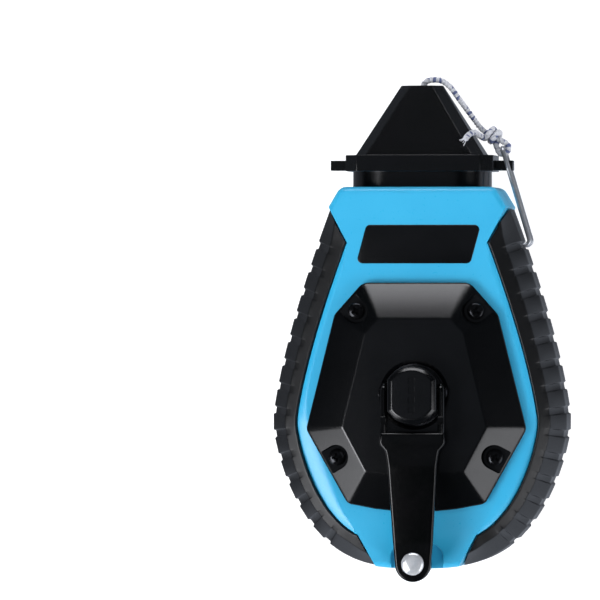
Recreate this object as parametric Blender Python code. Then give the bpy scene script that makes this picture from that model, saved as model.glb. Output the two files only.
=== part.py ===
"""Chalk line reel: a drop-shaped two-shell case with rubber grips, a geared folding crank,
a lift-off nose cap, a wound line and a wire hook.

Metres, +Z up. The reel lies on its back: X runs across, Y runs towards the nose, Z comes out
of the front. The origin is on the spool axis, on the flat back face.
"""
import math

import bmesh
import bpy
from mathutils import Matrix, Vector

# Start from an empty scene
for old in list(bpy.data.objects):
    bpy.data.objects.remove(old)

# Fits between pieces
SEAT_GAP = 0.0003
RUN_GAP = 0.00025

# Case outline, seen from the front
CASE_HALF_WIDTH = 0.0486
CASE_DEPTH = 0.0400
CASE_TOP_Y = 0.0681
CASE_BOTTOM_Y = -0.0570
WIDEST_Y = -0.0090
SHOULDER_HALF_WIDTH = 0.0297
SHOULDER_Y = 0.0608
TOP_HALF_WIDTH = 0.0254
FLANK_POWER = 1.37
BELLY_WIDTH_POWER = 3.0
BELLY_DROP_POWER = 1.46

# Case section
WALL = 0.0022
EDGE_ROUND = 0.0030
FACE_BEVEL_WIDTH = 0.0016
FACE_BEVEL_DROP = 0.0007

# Rubber grips
GRIP_THICKNESS = 0.0026
GRIP_WIDTH_TOP = 0.0098
GRIP_WIDTH_FOOT = 0.0080
GRIP_SET_BACK = 0.0002
GRIP_SIDE_HEIGHT = 0.0090
GRIP_CHAMFER_IN = 0.0048
GRIP_CHAMFER_HEIGHT = 0.0178
GRIP_TOP_SLANT = 0.0085
GRIP_FOOT_SLANT = 0.0095
GRIP_FOOT_X = 0.0145
GROOVE_PITCH = 0.0080
GROOVE_WIDTH = 0.0026
GROOVE_DEPTH = 0.0013
GROOVE_START = 0.0125
GROOVE_RAMP = 0.0004
GROOVE_FOOT_MARGIN = 0.0080

# Finger notch below the crank knob
NOTCH_HALF_WIDTH = 0.0085
NOTCH_DEPTH = 0.0031
NOTCH_LENGTH = 0.0083
NOTCH_CORNER = 0.0045

# Case screws, driven from the back
CASE_SCREW_GRIP_GAP = 0.0030
CASE_SCREW_PLUG_GAP = 0.0009
CASE_SCREW_FOOT_GAP = 0.0071
CASE_SCREW_FOOT_RISE = 0.0025
CASE_BOSS_RADIUS = 0.0042
SCREW_RADIUS = 0.0013
SCREW_HEAD_RADIUS = 0.00275
SCREW_HEAD_HEIGHT = 0.0018
CASE_SCREW_LENGTH = 0.0300
CASE_SCREW_HEAD_DEPTH = 0.0008
SCREW_CROSS_REACH = 0.0016
SCREW_CROSS_HALF = 0.00045
SCREW_CROSS_DEPTH = 0.0012
# The head's dome, as shares of its radius and height
SCREW_DOME = ((1.0, 0.45), (0.85, 0.80), (0.50, 1.00))

# Gear cover outline: half widths and heights of its corners, at the base and on the plateau
COVER_BASE_TOP = (0.0176, 0.0367)
COVER_BASE_UPPER = (0.0269, 0.0262)
COVER_BASE_WIDE = (0.0362, -0.0113)
COVER_BASE_LOWER = (0.0226, -0.0356)
COVER_BASE_BOTTOM_Y = -0.0383
PLATEAU_TOP = (0.0119, 0.0249)
PLATEAU_UPPER = (0.0162, 0.0201)
PLATEAU_WIDE = (0.0237, -0.0106)
PLATEAU_LOWER = (0.0161, -0.0250)
PLATEAU_BOTTOM_Y = -0.0262
COVER_BOW_SHARES = (-0.6, -0.2, 0.2, 0.6)
COVER_HEIGHT = 0.0085
COVER_SKIRT = 0.0014
COVER_WALL = 0.0020
COVER_SIDE_WALL = 0.0030
COVER_SCREW_UPPER = (0.0196, 0.0274)
COVER_SCREW_LOWER = (0.0259, -0.0204)
COVER_POCKET_RADIUS = 0.0041
COVER_POCKET_FLOOR = 0.0018
COVER_POCKET_WALL = 0.0010
COVER_POCKET_REACH = 0.0080
COVER_BOSS_RADIUS = 0.0032
COVER_BOSS_FLOOR = 0.0015
COVER_SCREW_LENGTH = 0.0070
GASKET_THICKNESS = 0.0006
GASKET_WIDTH = 0.0014
GASKET_INSET = 0.0005

# Spool and axle
AXLE_RADIUS = 0.0030
AXLE_BOSS_RADIUS = 0.0070
AXLE_BOSS_HEIGHT = 0.0032
AXLE_SOCKET_FLOOR = 0.0005
WASHER_THICKNESS = 0.0005
WASHER_RADIUS = 0.0065
SPOOL_SIDE_GAP = 0.0080
SPOOL_CORE_RADIUS = 0.0110
SPOOL_FLANGE_THICKNESS = 0.0016
SPOOL_HUB_LENGTH = 0.0010
SPOOL_FRONT_GAP = 0.0009
SPOOL_NECK_RADIUS = 0.0055
SEAL_WIDTH = 0.0023
WINDING_DEPTH = 0.0190

# Gear train: sun on the spool, planets on the crank, ring held in the case
GEAR_MODULE = 0.0007
SUN_TEETH = 18
PLANET_TEETH = 18
RING_TEETH = 54
PLANET_COUNT = 3
PRESSURE_ANGLE = math.radians(20)
TOOTH_THINNING = 0.0003
TOOTH_DEPTH = 1.25
RING_TOOTH_HEIGHT = 0.9
GEAR_LIFT = 0.0009
GEAR_WIDTH = 0.0036
RING_RIM = 0.0020
SUN_HEX_RADIUS = 0.0046
PLANET_PIN_RADIUS = 0.0015
CARRIER_GAP = 0.0004
CARRIER_THICKNESS = 0.0016
CARRIER_RIM = 0.0025
HUB_HEX_RADIUS = 0.0056

# Crank hub and button
HUB_RADIUS = 0.0096
HUB_HOLE_CLEARANCE = 0.0006
HUB_HOLE_CHAMFER = 0.0011
HUB_SHOULDER = 0.0009
HUB_FLAT = 0.0080
HUB_TOWER_HEIGHT = 0.0050
HUB_FLOOR = 0.0007
BUTTON_STEM_RADIUS = 0.0045
BUTTON_STEM_LENGTH = 0.0055
BUTTON_TRAVEL = 0.0018
BUTTON_THICKNESS = 0.0020
BUTTON_RADIUS = 0.0095
BUTTON_BEVEL = 0.0015
BUTTON_BEVEL_DROP = 0.0012
SPRING_RADIUS = 0.0032
SPRING_WIRE_RADIUS = 0.00035
SPRING_TURNS = 3.5

# Folding crank
HINGE_Y = 0.0010
HINGE_RISE = 0.0036
HINGE_PIN_RADIUS = 0.0012
HINGE_PIN_HEAD_RADIUS = 0.0017
HINGE_PIN_HEAD = 0.0006
HINGE_PIN_DEPTH = 0.0022
EAR_THICKNESS = 0.0021
EAR_RADIUS = 0.0030
ARM_SHEET = 0.0020
ARM_WEB_START = 0.0130
ARM_SHOULDER_LENGTH = 0.0038
ARM_JOG_LENGTH = 0.0022
ARM_FIRST_BEND = 0.0236
ARM_SECOND_BEND = 0.0496
ARM_KNOB_REACH = 0.0560
ARM_NECK_HALF_WIDTH = 0.0089
ARM_UPPER_HALF_WIDTH = 0.0081
ARM_LOWER_HALF_WIDTH = 0.0065
ARM_END_RADIUS = 0.0059
ARM_RISE = 0.0035
ARM_PAD_RISE = 0.0006
ARM_FLANGE = 0.0036
ARM_LIP = 0.0003
ARM_FLANGE_SHARE = 0.4
ARM_END_ANGLES = (0, 15, 30, 45, 60, 72, 82)
KNOB_RADIUS = 0.0052
KNOB_FRONT_CLEARANCE = 0.0009
KNOB_EDGE = 0.0008
RIVET_RADIUS = 0.0016
RIVET_HEAD_RADIUS = 0.0037
RIVET_HEAD_HEIGHT = 0.0016
RIVET_DOME_ANGLES = (0, 25, 50, 75)
RIVET_TAIL_RADIUS = 0.0026
RIVET_TAIL_HEIGHT = 0.0008
RIVET_TAIL_DEPTH = 0.0006

# Nose cap
NECK_HALF_WIDTH = 0.0229
NECK_HALF_DEPTH = 0.0130
NECK_EXPOSED = 0.0052
PLUG_DEPTH = 0.0076
FLANGE_HALF_WIDTH = 0.0243
FLANGE_HALF_DEPTH = 0.0155
FLANGE_CORNER = 0.0040
FLANGE_HEIGHT = 0.0053
TAB_HALF_SPAN = 0.0301
TAB_HALF_WIDTH = 0.0030
TAB_HEIGHT = 0.0033
NOSE_HEIGHT = 0.0230
NOSE_BASE_HALF_WIDTH = 0.0211
NOSE_BASE_HALF_DEPTH = 0.0130
NOSE_BASE_CORNER = 0.0036
NOSE_TIP_HALF_WIDTH = 0.0068
NOSE_TIP_HALF_DEPTH = 0.0050
NOSE_TIP_CORNER = 0.0032
NOSE_WALL = 0.0020
NOSE_TOP_WALL = 0.0030
PLUG_WALL = 0.0028
LINE_HOLE_RADIUS = 0.0024
WIPER_HEIGHT = 0.0060
WIPER_TOP_GAP = 0.0050
WIPER_BORE_CLEARANCE = 0.0004
CAP_SEAL_HEIGHT = 0.0020
CAP_SEAL_DEPTH = 0.0014
CAP_SEAL_RISE = 0.0026

# Line and hook
LINE_RADIUS = 0.00085
HOOK_WIRE_RADIUS = 0.00075
HOOK_LEG_GAP = 0.00035
HOOK_OUT = 0.0024
HOOK_UP = 0.0024
HOOK_TIP_INSET = 0.00015
HOOK_BEND = 0.0015
HOOK_BEND_SHARE = 0.3
HOOK_LEG_SHARES = (0.7, 0.35)
# The hook's inturned prong, from its tip against the grip
HOOK_PRONG = ((0.0, 0.0), (0.0015, 0.0001), (0.0022, 0.0008), (0.0024, 0.0020))
KNOT_GAP = 0.0003
KNOT_TURNS = 2.0
KNOT_PITCH = 0.0021
KNOT_START = 1.2 * KNOT_PITCH
KNOT_LOOP_ANGLES = (80, 35, -10, -55, -100)

# Facet counts and the spacing of sections along the case edge
ROUND = 36
SMALL_ROUND = 20
TINY_ROUND = 12
COIL_STEPS = 8
EDGE_STEPS = 240
DIRECTION_REACH = 0.0012
SHARP_ANGLE = math.radians(32)
EDGE_STATION = 0.0120
CAVITY_STATION = 0.0180
SLANT_STATIONS = 4
SLANT_CORNER_STEP = 0.0004

# Heights that follow from the sizes above
MID_Z = CASE_DEPTH / 2
GRIP_FACE_HEIGHT = MID_Z - GRIP_SET_BACK
CAVITY_INSET = GRIP_THICKNESS + SEAT_GAP + WALL
COVER_BASE_Z = CASE_DEPTH + 2 * SEAT_GAP + GASKET_THICKNESS
PLATEAU_Z = COVER_BASE_Z + COVER_HEIGHT
COVER_CEILING_Z = PLATEAU_Z - COVER_WALL
POCKET_FLOOR_Z = COVER_BASE_Z + COVER_POCKET_FLOOR
GEAR_Z = CASE_DEPTH + GEAR_LIFT
GEAR_TOP_Z = GEAR_Z + GEAR_WIDTH
CARRIER_Z = GEAR_TOP_Z + CARRIER_GAP
HUB_BASE_Z = CARRIER_Z + CARRIER_THICKNESS + SEAT_GAP
SHOULDER_Z = PLATEAU_Z + HUB_SHOULDER
TOWER_TOP_Z = SHOULDER_Z + HUB_TOWER_HEIGHT
BUTTON_Z = TOWER_TOP_Z + BUTTON_TRAVEL + SEAT_GAP
HINGE_Z = SHOULDER_Z + HINGE_RISE
ARM_TOP_Z = HINGE_Z + ARM_RISE
PAD_TOP_Z = HINGE_Z + ARM_PAD_RISE
KNOB_Y = HINGE_Y - ARM_KNOB_REACH
KNOB_BASE_Z = CASE_DEPTH + KNOB_FRONT_CLEARANCE
KNOB_TOP_Z = PAD_TOP_Z - ARM_SHEET - ARM_LIP - SEAT_GAP
PLANET_REACH = GEAR_MODULE * (SUN_TEETH + PLANET_TEETH) / 2
EAR_INNER_X = HUB_FLAT + SEAT_GAP
EAR_OUTER_X = EAR_INNER_X + EAR_THICKNESS
WASHER_Z = WALL + AXLE_BOSS_HEIGHT + SEAT_GAP
SPOOL_BACK_Z = WASHER_Z + WASHER_THICKNESS + SEAT_GAP
SPOOL_REAR_Z = SPOOL_BACK_Z + SPOOL_HUB_LENGTH
COVER_SCREW_TIP_Z = POCKET_FLOOR_Z + SEAT_GAP - COVER_SCREW_LENGTH
COVER_BOSS_Z = COVER_SCREW_TIP_Z - SEAT_GAP - COVER_BOSS_FLOOR
SPOOL_FRONT_Z = COVER_BOSS_Z - SPOOL_FRONT_GAP
SPOOL_FLANGE_RADIUS = CASE_HALF_WIDTH - CAVITY_INSET - SPOOL_SIDE_GAP
NECK_TOP_Y = CASE_TOP_Y + NECK_EXPOSED
PLUG_BOTTOM_Y = CASE_TOP_Y - PLUG_DEPTH
FLANGE_TOP_Y = NECK_TOP_Y + FLANGE_HEIGHT
NOSE_TOP_Y = FLANGE_TOP_Y + NOSE_HEIGHT
WIPER_TOP_Y = NOSE_TOP_Y - NOSE_TOP_WALL - WIPER_TOP_GAP
WIPER_Y = WIPER_TOP_Y - WIPER_HEIGHT
HOOK_LEG_Z = TAB_HALF_WIDTH + HOOK_LEG_GAP + HOOK_WIRE_RADIUS
AXLE_TOP_Z = HUB_BASE_Z
SPRING_SEAT_Z = AXLE_TOP_Z + SEAT_GAP + HUB_FLOOR
STEM_BOTTOM_Z = BUTTON_Z - BUTTON_STEM_LENGTH
WINDING_RADIUS = SPOOL_CORE_RADIUS + WINDING_DEPTH


# Mesh helpers

def mesh_object(name, verts, faces):
    """One object from points and faces, with its faces turned outward."""
    mesh = bpy.data.meshes.new(name)
    shape = bmesh.new()
    points = [shape.verts.new(v) for v in verts]
    for face in faces:
        shape.faces.new([points[i] for i in face])
    bmesh.ops.recalc_face_normals(shape, faces=shape.faces)
    shape.to_mesh(mesh)
    shape.free()
    made = bpy.data.objects.new(name, mesh)
    bpy.context.scene.collection.objects.link(made)
    return made


def loft(name, loops, closed=False):
    """A skin through equal loops; capped at both ends, or joined end to end when closed."""
    count = len(loops[0])
    verts = [point for loop in loops for point in loop]
    faces = []
    spans = len(loops) if closed else len(loops) - 1
    for i in range(spans):
        low = i * count
        high = ((i + 1) % len(loops)) * count
        for j in range(count):
            k = (j + 1) % count
            faces.append((low + j, low + k, high + k, high + j))
    if not closed:
        faces.append(tuple(range(count)))
        faces.append(tuple(range(len(verts) - count, len(verts))))
    return mesh_object(name, verts, faces)


def triangulated(made):
    """Split bent four-sided faces, so that Booleans meet flat faces only."""
    shape = bmesh.new()
    shape.from_mesh(made.data)
    bmesh.ops.triangulate(shape, faces=shape.faces)
    shape.to_mesh(made.data)
    shape.free()
    return made


def at_z(outline, z):
    return [(x, y, z) for x, y in outline]


def prism(name, outline, low, high):
    return loft(name, [at_z(outline, low), at_z(outline, high)])


def circle(radius, count, centre=(0.0, 0.0), start=0.0):
    turn = 2 * math.pi / count
    angles = [start + turn * i for i in range(count)]
    return [(centre[0] + radius * math.cos(a), centre[1] + radius * math.sin(a)) for a in angles]


def cylinder(name, radius, low, high, centre=(0.0, 0.0), count=SMALL_ROUND):
    return prism(name, circle(radius, count, centre), low, high)


def turned(name, profile, count=ROUND, bored=False, centre=(0.0, 0.0)):
    """A turned solid from (radius, z) points; a bored one has a closed profile."""
    return loft(name, [at_z(circle(r, count, centre), z) for r, z in profile], closed=bored)


def double_d(radius, flat, count=ROUND):
    """A circle with two flats at plus and minus the flat distance in X."""
    edge = math.acos(flat / radius)
    half = count // 2
    upper = [edge + (math.pi - 2 * edge) * i / half for i in range(half + 1)]
    angles = upper + [a + math.pi for a in upper]
    return [(radius * math.cos(a), radius * math.sin(a)) for a in angles]


def combine(target, tool, operation):
    """Apply one Boolean with a helper object, then drop the helper."""
    modifier = target.modifiers.new("combine", "BOOLEAN")
    modifier.object = tool
    modifier.operation = operation
    modifier.solver = "EXACT"
    bpy.context.view_layer.update()
    graph = bpy.context.evaluated_depsgraph_get()
    shaped = bpy.data.meshes.new_from_object(target.evaluated_get(graph))
    target.modifiers.clear()
    target.data = shaped
    bpy.data.objects.remove(tool)


def cut(target, tool):
    combine(target, tool, "DIFFERENCE")


def add(target, tool):
    combine(target, tool, "UNION")


def offset_open(points, distance):
    """Shift an open line of (u, z) points to its right side, with mitred corners."""
    normals = []
    for (u0, z0), (u1, z1) in zip(points, points[1:]):
        length = math.hypot(u1 - u0, z1 - z0)
        normals.append(((z1 - z0) / length, -(u1 - u0) / length))
    moved = []
    for i, (u, z) in enumerate(points):
        before = normals[max(i - 1, 0)]
        after = normals[min(i, len(normals) - 1)]
        spread = 1 + before[0] * after[0] + before[1] * after[1]
        moved.append((u + distance * (before[0] + after[0]) / spread,
                      z + distance * (before[1] + after[1]) / spread))
    return moved


def offset_closed(points, distance):
    """Inset a closed counter-clockwise outline, with mitred corners."""
    moved = []
    for i, (x, y) in enumerate(points):
        px, py = points[i - 1]
        nx, ny = points[(i + 1) % len(points)]
        before = math.hypot(x - px, y - py)
        after = math.hypot(nx - x, ny - y)
        bx, by = -(y - py) / before, (x - px) / before
        ax, ay = -(ny - y) / after, (nx - x) / after
        spread = 1 + bx * ax + by * ay
        moved.append((x + distance * (bx + ax) / spread, y + distance * (by + ay) / spread))
    return moved


def tube(name, points, radius, resolution):
    """A round cord or wire along points, with filled ends."""
    curve = bpy.data.curves.new(name, "CURVE")
    curve.dimensions = "3D"
    curve.bevel_depth = radius
    curve.bevel_resolution = resolution
    curve.use_fill_caps = True
    spline = curve.splines.new("POLY")
    spline.points.add(len(points) - 1)
    for place, point in zip(spline.points, points):
        place.co = (point[0], point[1], point[2], 1.0)
    made = bpy.data.objects.new(name, curve)
    bpy.context.scene.collection.objects.link(made)
    return made


def smooth(points, steps):
    """Points along a smooth curve through the given ones, a few to each stretch."""
    route = [Vector(p) for p in points]
    ends = [2 * route[0] - route[1]] + route + [2 * route[-1] - route[-2]]
    made = []
    for a, b, c, d in zip(ends, ends[1:], ends[2:], ends[3:]):
        for i in range(steps):
            t = i / steps
            bend = 2 * a - 5 * b + 4 * c - d
            turn = 3 * b - a - 3 * c + d
            made.append(0.5 * (2 * b + (c - a) * t + bend * t * t + turn * t * t * t))
    made.append(route[-1])
    return made


# Case outline, as a path down the right edge from the shoulder

def flank_point(share):
    """A point on the right flank: share 0 at the widest line, 1 at the shoulder."""
    run = CASE_HALF_WIDTH - SHOULDER_HALF_WIDTH
    return (CASE_HALF_WIDTH - run * share ** FLANK_POWER,
            WIDEST_Y + (SHOULDER_Y - WIDEST_Y) * share)


def belly_point(angle):
    """A point on the round lower edge: 0 at the widest line, a right angle at the bottom."""
    return (CASE_HALF_WIDTH * math.cos(angle) ** (2 / BELLY_WIDTH_POWER),
            WIDEST_Y - (WIDEST_Y - CASE_BOTTOM_Y) * math.sin(angle) ** (2 / BELLY_DROP_POWER))


def right_edge():
    """Fine points from the shoulder to the bottom, with the length along the edge to each."""
    points = [flank_point(1 - i / EDGE_STEPS) for i in range(EDGE_STEPS)]
    points += [belly_point(math.pi / 2 * i / EDGE_STEPS) for i in range(EDGE_STEPS)]
    points.append((0.0, CASE_BOTTOM_Y))
    lengths = [0.0]
    for (x0, y0), (x1, y1) in zip(points, points[1:]):
        lengths.append(lengths[-1] + math.hypot(x1 - x0, y1 - y0))
    return points, lengths


EDGE_POINTS, EDGE_LENGTHS = right_edge()


def edge_point(s):
    """The edge at a length from the shoulder; negative lengths run up the top corner."""
    if s < 0:
        run = math.hypot(SHOULDER_HALF_WIDTH - TOP_HALF_WIDTH, CASE_TOP_Y - SHOULDER_Y)
        share = -s / run
        return (SHOULDER_HALF_WIDTH + (TOP_HALF_WIDTH - SHOULDER_HALF_WIDTH) * share,
                SHOULDER_Y + (CASE_TOP_Y - SHOULDER_Y) * share)
    i = 1
    while EDGE_LENGTHS[i] < s and i < len(EDGE_LENGTHS) - 1:
        i += 1
    share = (s - EDGE_LENGTHS[i - 1]) / (EDGE_LENGTHS[i] - EDGE_LENGTHS[i - 1])
    (x0, y0), (x1, y1) = EDGE_POINTS[i - 1], EDGE_POINTS[i]
    return (x0 + (x1 - x0) * share, y0 + (y1 - y0) * share)


def edge_inward(s):
    """The inward direction square to the edge."""
    x0, y0 = edge_point(max(s - DIRECTION_REACH, 0.0))
    x1, y1 = edge_point(min(s + DIRECTION_REACH, EDGE_LENGTHS[-1]))
    length = math.hypot(x1 - x0, y1 - y0)
    return ((y1 - y0) / length, -(x1 - x0) / length)


def edge_length_at_x(x):
    """Length along the edge to the point of the belly at this half width."""
    i = len(EDGE_POINTS) - 1
    while EDGE_POINTS[i][0] < x:
        i -= 1
    return EDGE_LENGTHS[i]


GRIP_END = edge_length_at_x(GRIP_FOOT_X)


def grip_width(s):
    share = min(max(s / GRIP_END, 0.0), 1.0)
    return GRIP_WIDTH_TOP + (GRIP_WIDTH_FOOT - GRIP_WIDTH_TOP) * share


def towards(start, end):
    length = math.hypot(end[0] - start[0], end[1] - start[1])
    return ((end[0] - start[0]) / length, (end[1] - start[1]) / length), length


def inner_corner(s):
    (x, y), (dx, dy) = edge_point(s), edge_inward(s)
    return (x + dx * grip_width(s), y + dy * grip_width(s))


def slant_station(start, corner, shift):
    """A slanted end of a grip: an edge point, the direction to the inner corner, the length."""
    direction, length = towards(edge_point(start), inner_corner(corner))
    return edge_point(start + shift), direction, length


def square_station(s):
    return edge_point(s), edge_inward(s), grip_width(s)


def top_stations(shift):
    """Slanted stations at a grip's upper end, the outermost one shifted along the edge."""
    stations = []
    for i in range(SLANT_STATIONS):
        start = GRIP_TOP_SLANT * i / SLANT_STATIONS
        stations.append(slant_station(start, GRIP_TOP_SLANT + SLANT_CORNER_STEP * i, 0.0 if i else shift))
    return stations


def foot_stations(shift):
    """Slanted stations at a grip's foot, the outermost one shifted along the edge."""
    stations = []
    foot = GRIP_END - GRIP_FOOT_SLANT
    for i in range(SLANT_STATIONS):
        start = GRIP_END - GRIP_FOOT_SLANT * i / SLANT_STATIONS
        stations.append(slant_station(start, foot - SLANT_CORNER_STEP * i, 0.0 if i else shift))
    return stations[::-1]


# Lengths along the edge between which a grip is cut square
SQUARE_START = GRIP_TOP_SLANT + SLANT_CORNER_STEP * SLANT_STATIONS
SQUARE_END = GRIP_END - GRIP_FOOT_SLANT - SLANT_CORNER_STEP * SLANT_STATIONS


# Sections across the case edge, as (distance in from the edge, height above the middle plane)

def level_end(points, u):
    """End a line of section points at one distance in, along its last stretch."""
    (u0, z0), (u1, z1) = points[-2], points[-1]
    return points[:-1] + [(u, z1 + (z1 - z0) / (u1 - u0) * (u - u1))]


def grip_line(width, start):
    """The outside of a grip: side, chamfer and front band."""
    return [(0.0, start), (0.0, GRIP_SIDE_HEIGHT), (GRIP_CHAMFER_IN, GRIP_CHAMFER_HEIGHT),
            (width, GRIP_FACE_HEIGHT)]


def grip_section(width, groove):
    """A closed section of a grip; a groove fades out over the front band."""
    outside = grip_line(width, SEAT_GAP / 2)
    inside = level_end(offset_open(outside, GRIP_THICKNESS), width)
    return offset_open(outside, groove)[:3] + outside[3:] + inside[::-1]


def shell_under_grip(width):
    """The shell below a grip, with the step up to the bevelled front face."""
    stop = width + SEAT_GAP
    line = level_end(grip_line(width, SEAT_GAP / 2), stop)
    under = level_end(offset_open(line, GRIP_THICKNESS + SEAT_GAP), stop)
    return under + [(stop, MID_Z - FACE_BEVEL_DROP), (stop + FACE_BEVEL_WIDTH, MID_Z)]


def shell_bare():
    """The shell's own rounded edge, where no grip covers it."""
    arc = [math.radians(a) for a in (0, 30, 60, 90)]
    rounded = [(EDGE_ROUND * (1 - math.cos(a)), MID_Z - EDGE_ROUND * (1 - math.sin(a))) for a in arc]
    return [(0.0, SEAT_GAP / 2)] + rounded + [(EDGE_ROUND + FACE_BEVEL_WIDTH, MID_Z)]


def cavity_section(width):
    """The inside of the shell, down past the split plane."""
    stop = width + SEAT_GAP + WALL
    line = level_end(grip_line(width, -WALL), stop)
    return level_end(offset_open(line, CAVITY_INSET), stop) + [(stop, MID_Z - WALL)]


def placed(station, section, side):
    """Section points at one station: side is 1 for the front half and -1 for the rear."""
    (x, y), (dx, dy), _ = station
    return [(x + dx * u, y + dy * u, MID_Z + side * h) for u, h in section]


# Rubber grips

def groove_centres():
    last = GRIP_END - GRIP_FOOT_SLANT - GROOVE_FOOT_MARGIN
    count = 1 + int((last - GROOVE_START) / GROOVE_PITCH)
    return [GROOVE_START + GROOVE_PITCH * i for i in range(count)]


def spaced(start, end, step):
    count = max(1, math.ceil((end - start) / step))
    return [start + (end - start) * i / count for i in range(count + 1)]


def grip(name, side, mirror):
    """One moulded grip along the edge, with cross grooves."""
    marks = [(SQUARE_START, 0.0)]
    for middle in groove_centres():
        half = GROOVE_WIDTH / 2
        marks.append((middle - half - GROOVE_RAMP, 0.0))
        marks.append((middle - half, GROOVE_DEPTH))
        marks.append((middle + half, GROOVE_DEPTH))
        marks.append((middle + half + GROOVE_RAMP, 0.0))
    marks += [(s, 0.0) for s in spaced(marks[-1][0], SQUARE_END, GROOVE_PITCH / 2)[1:]]
    stations = [(station, 0.0) for station in top_stations(0.0)]
    stations += [(square_station(s), depth) for s, depth in marks]
    stations += [(station, 0.0) for station in foot_stations(0.0)]
    loops = [placed(st, grip_section(st[2], depth), side) for st, depth in stations]
    return loft(name, [[(mirror * x, y, z) for x, y, z in loop] for loop in loops])


# Case shells

def corner_station(point, before, after, width):
    """A sharp outline corner, with the mitred direction between two inward directions."""
    spread = 1 + before[0] * after[0] + before[1] * after[1]
    return point, ((before[0] + after[0]) / spread, (before[1] + after[1]) / spread), width


def whole_loops(stations, sections, side):
    """Loops round the whole outline, from stations down the right half, for each section point."""
    right = [placed(st, section, side) for st, section in zip(stations, sections)]
    left = [[(-x, y, z) for x, y, z in points] for points in right[-2:0:-1]]
    ring = right + left
    return [[points[k] for points in ring] for k in range(len(ring[0]))]


def outer_solid(name, side):
    """The outside of one half of the case, stepped down under the grips."""
    apart = 2 * SEAT_GAP
    step = 3 * SEAT_GAP
    top = (0.0, CASE_TOP_Y)
    corner = (TOP_HALF_WIDTH, CASE_TOP_Y)
    shoulder = (SHOULDER_HALF_WIDTH, SHOULDER_Y)
    (tx, ty), _ = towards(corner, shoulder)
    bare = shell_bare()
    stations = [(top, (0.0, -1.0), 0.0),
                corner_station(corner, (0.0, -1.0), (ty, -tx), 0.0),
                slant_station(0.0, GRIP_TOP_SLANT, -step)]
    sections = [bare, bare, bare]
    covered = top_stations(-apart)
    covered += [square_station(s) for s in spaced(SQUARE_START, SQUARE_END, EDGE_STATION)]
    covered += foot_stations(apart)
    stations += covered
    sections += [shell_under_grip(st[2]) for st in covered]
    stations.append(slant_station(GRIP_END, GRIP_END - GRIP_FOOT_SLANT, step))
    for s in spaced(GRIP_END + step, EDGE_LENGTHS[-1], EDGE_STATION)[1:-1]:
        stations.append(square_station(s))
    stations.append(((0.0, CASE_BOTTOM_Y), (0.0, 1.0), 0.0))
    sections += [bare] * (len(stations) - len(sections))
    return loft(name, whole_loops(stations, sections, side))


def cavity_solid(side):
    """The hollow inside one half of the case."""
    start = GRIP_TOP_SLANT + GRIP_CHAMFER_IN
    corner = (TOP_HALF_WIDTH, CASE_TOP_Y)
    (tx, ty), _ = towards(corner, edge_point(start))
    stations = [((0.0, CASE_TOP_Y), (0.0, -1.0), GRIP_WIDTH_TOP),
                corner_station(corner, (0.0, -1.0), (ty, -tx), GRIP_WIDTH_TOP)]
    stations += [square_station(s) for s in spaced(start, EDGE_LENGTHS[-1], CAVITY_STATION)[:-1]]
    stations.append(((0.0, CASE_BOTTOM_Y), (0.0, 1.0), GRIP_WIDTH_FOOT))
    sections = [cavity_section(st[2]) for st in stations]
    return loft("cavity", whole_loops(stations, sections, side))


def stadium(half_width, half_depth, count=SMALL_ROUND):
    """A round-ended outline in X and Z about the middle plane."""
    straight = half_width - half_depth
    points = []
    for i in range(count + 2):
        side = 1 if i <= count // 2 else -1
        angle = -math.pi / 2 + math.pi * (i - (side < 0)) / (count // 2)
        points.append((side * straight + half_depth * math.cos(angle),
                       MID_Z + half_depth * math.sin(angle)))
    return points


def along_y(outline, y):
    return [(x, y, z) for x, z in outline]


def neck_solid(name, half_width, half_depth, low, high):
    outline = stadium(half_width, half_depth)
    return loft(name, [along_y(outline, low), along_y(outline, high)])


def mouth_cutter():
    return neck_solid("mouth", NECK_HALF_WIDTH + SEAT_GAP, NECK_HALF_DEPTH + SEAT_GAP,
                      PLUG_BOTTOM_Y - 3 * SEAT_GAP, CASE_TOP_Y + WALL)


def case_screw_places():
    upper_x = inner_corner(GRIP_TOP_SLANT)[0] - CASE_SCREW_GRIP_GAP
    upper_y = PLUG_BOTTOM_Y - CASE_BOSS_RADIUS - CASE_SCREW_PLUG_GAP
    foot_x, foot_y = inner_corner(GRIP_END - GRIP_FOOT_SLANT)
    lower_x = foot_x - CASE_SCREW_FOOT_GAP
    lower_y = foot_y + CASE_SCREW_FOOT_RISE
    return [(-upper_x, upper_y), (upper_x, upper_y), (-lower_x, lower_y), (lower_x, lower_y)]


def cover_screw_places():
    (ux, uy), (lx, ly) = COVER_SCREW_UPPER, COVER_SCREW_LOWER
    return [(-ux, uy), (ux, uy), (-lx, ly), (lx, ly)]


def notch_outline():
    """The finger notch: straight sides and a rounded head, open at the bottom edge."""
    top = CASE_BOTTOM_Y + NOTCH_LENGTH
    reach = NOTCH_HALF_WIDTH - NOTCH_CORNER
    half = TINY_ROUND // 2
    arc = [math.pi / 2 * i / half for i in range(half + 1)]
    right = [(reach + NOTCH_CORNER * math.cos(a), top - NOTCH_CORNER * (1 - math.sin(a))) for a in arc]
    left = [(-x, y) for x, y in right[::-1]]
    below = CASE_BOTTOM_Y - NOTCH_LENGTH
    return [(NOTCH_HALF_WIDTH, below)] + right + left + [(-NOTCH_HALF_WIDTH, below)]


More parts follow.
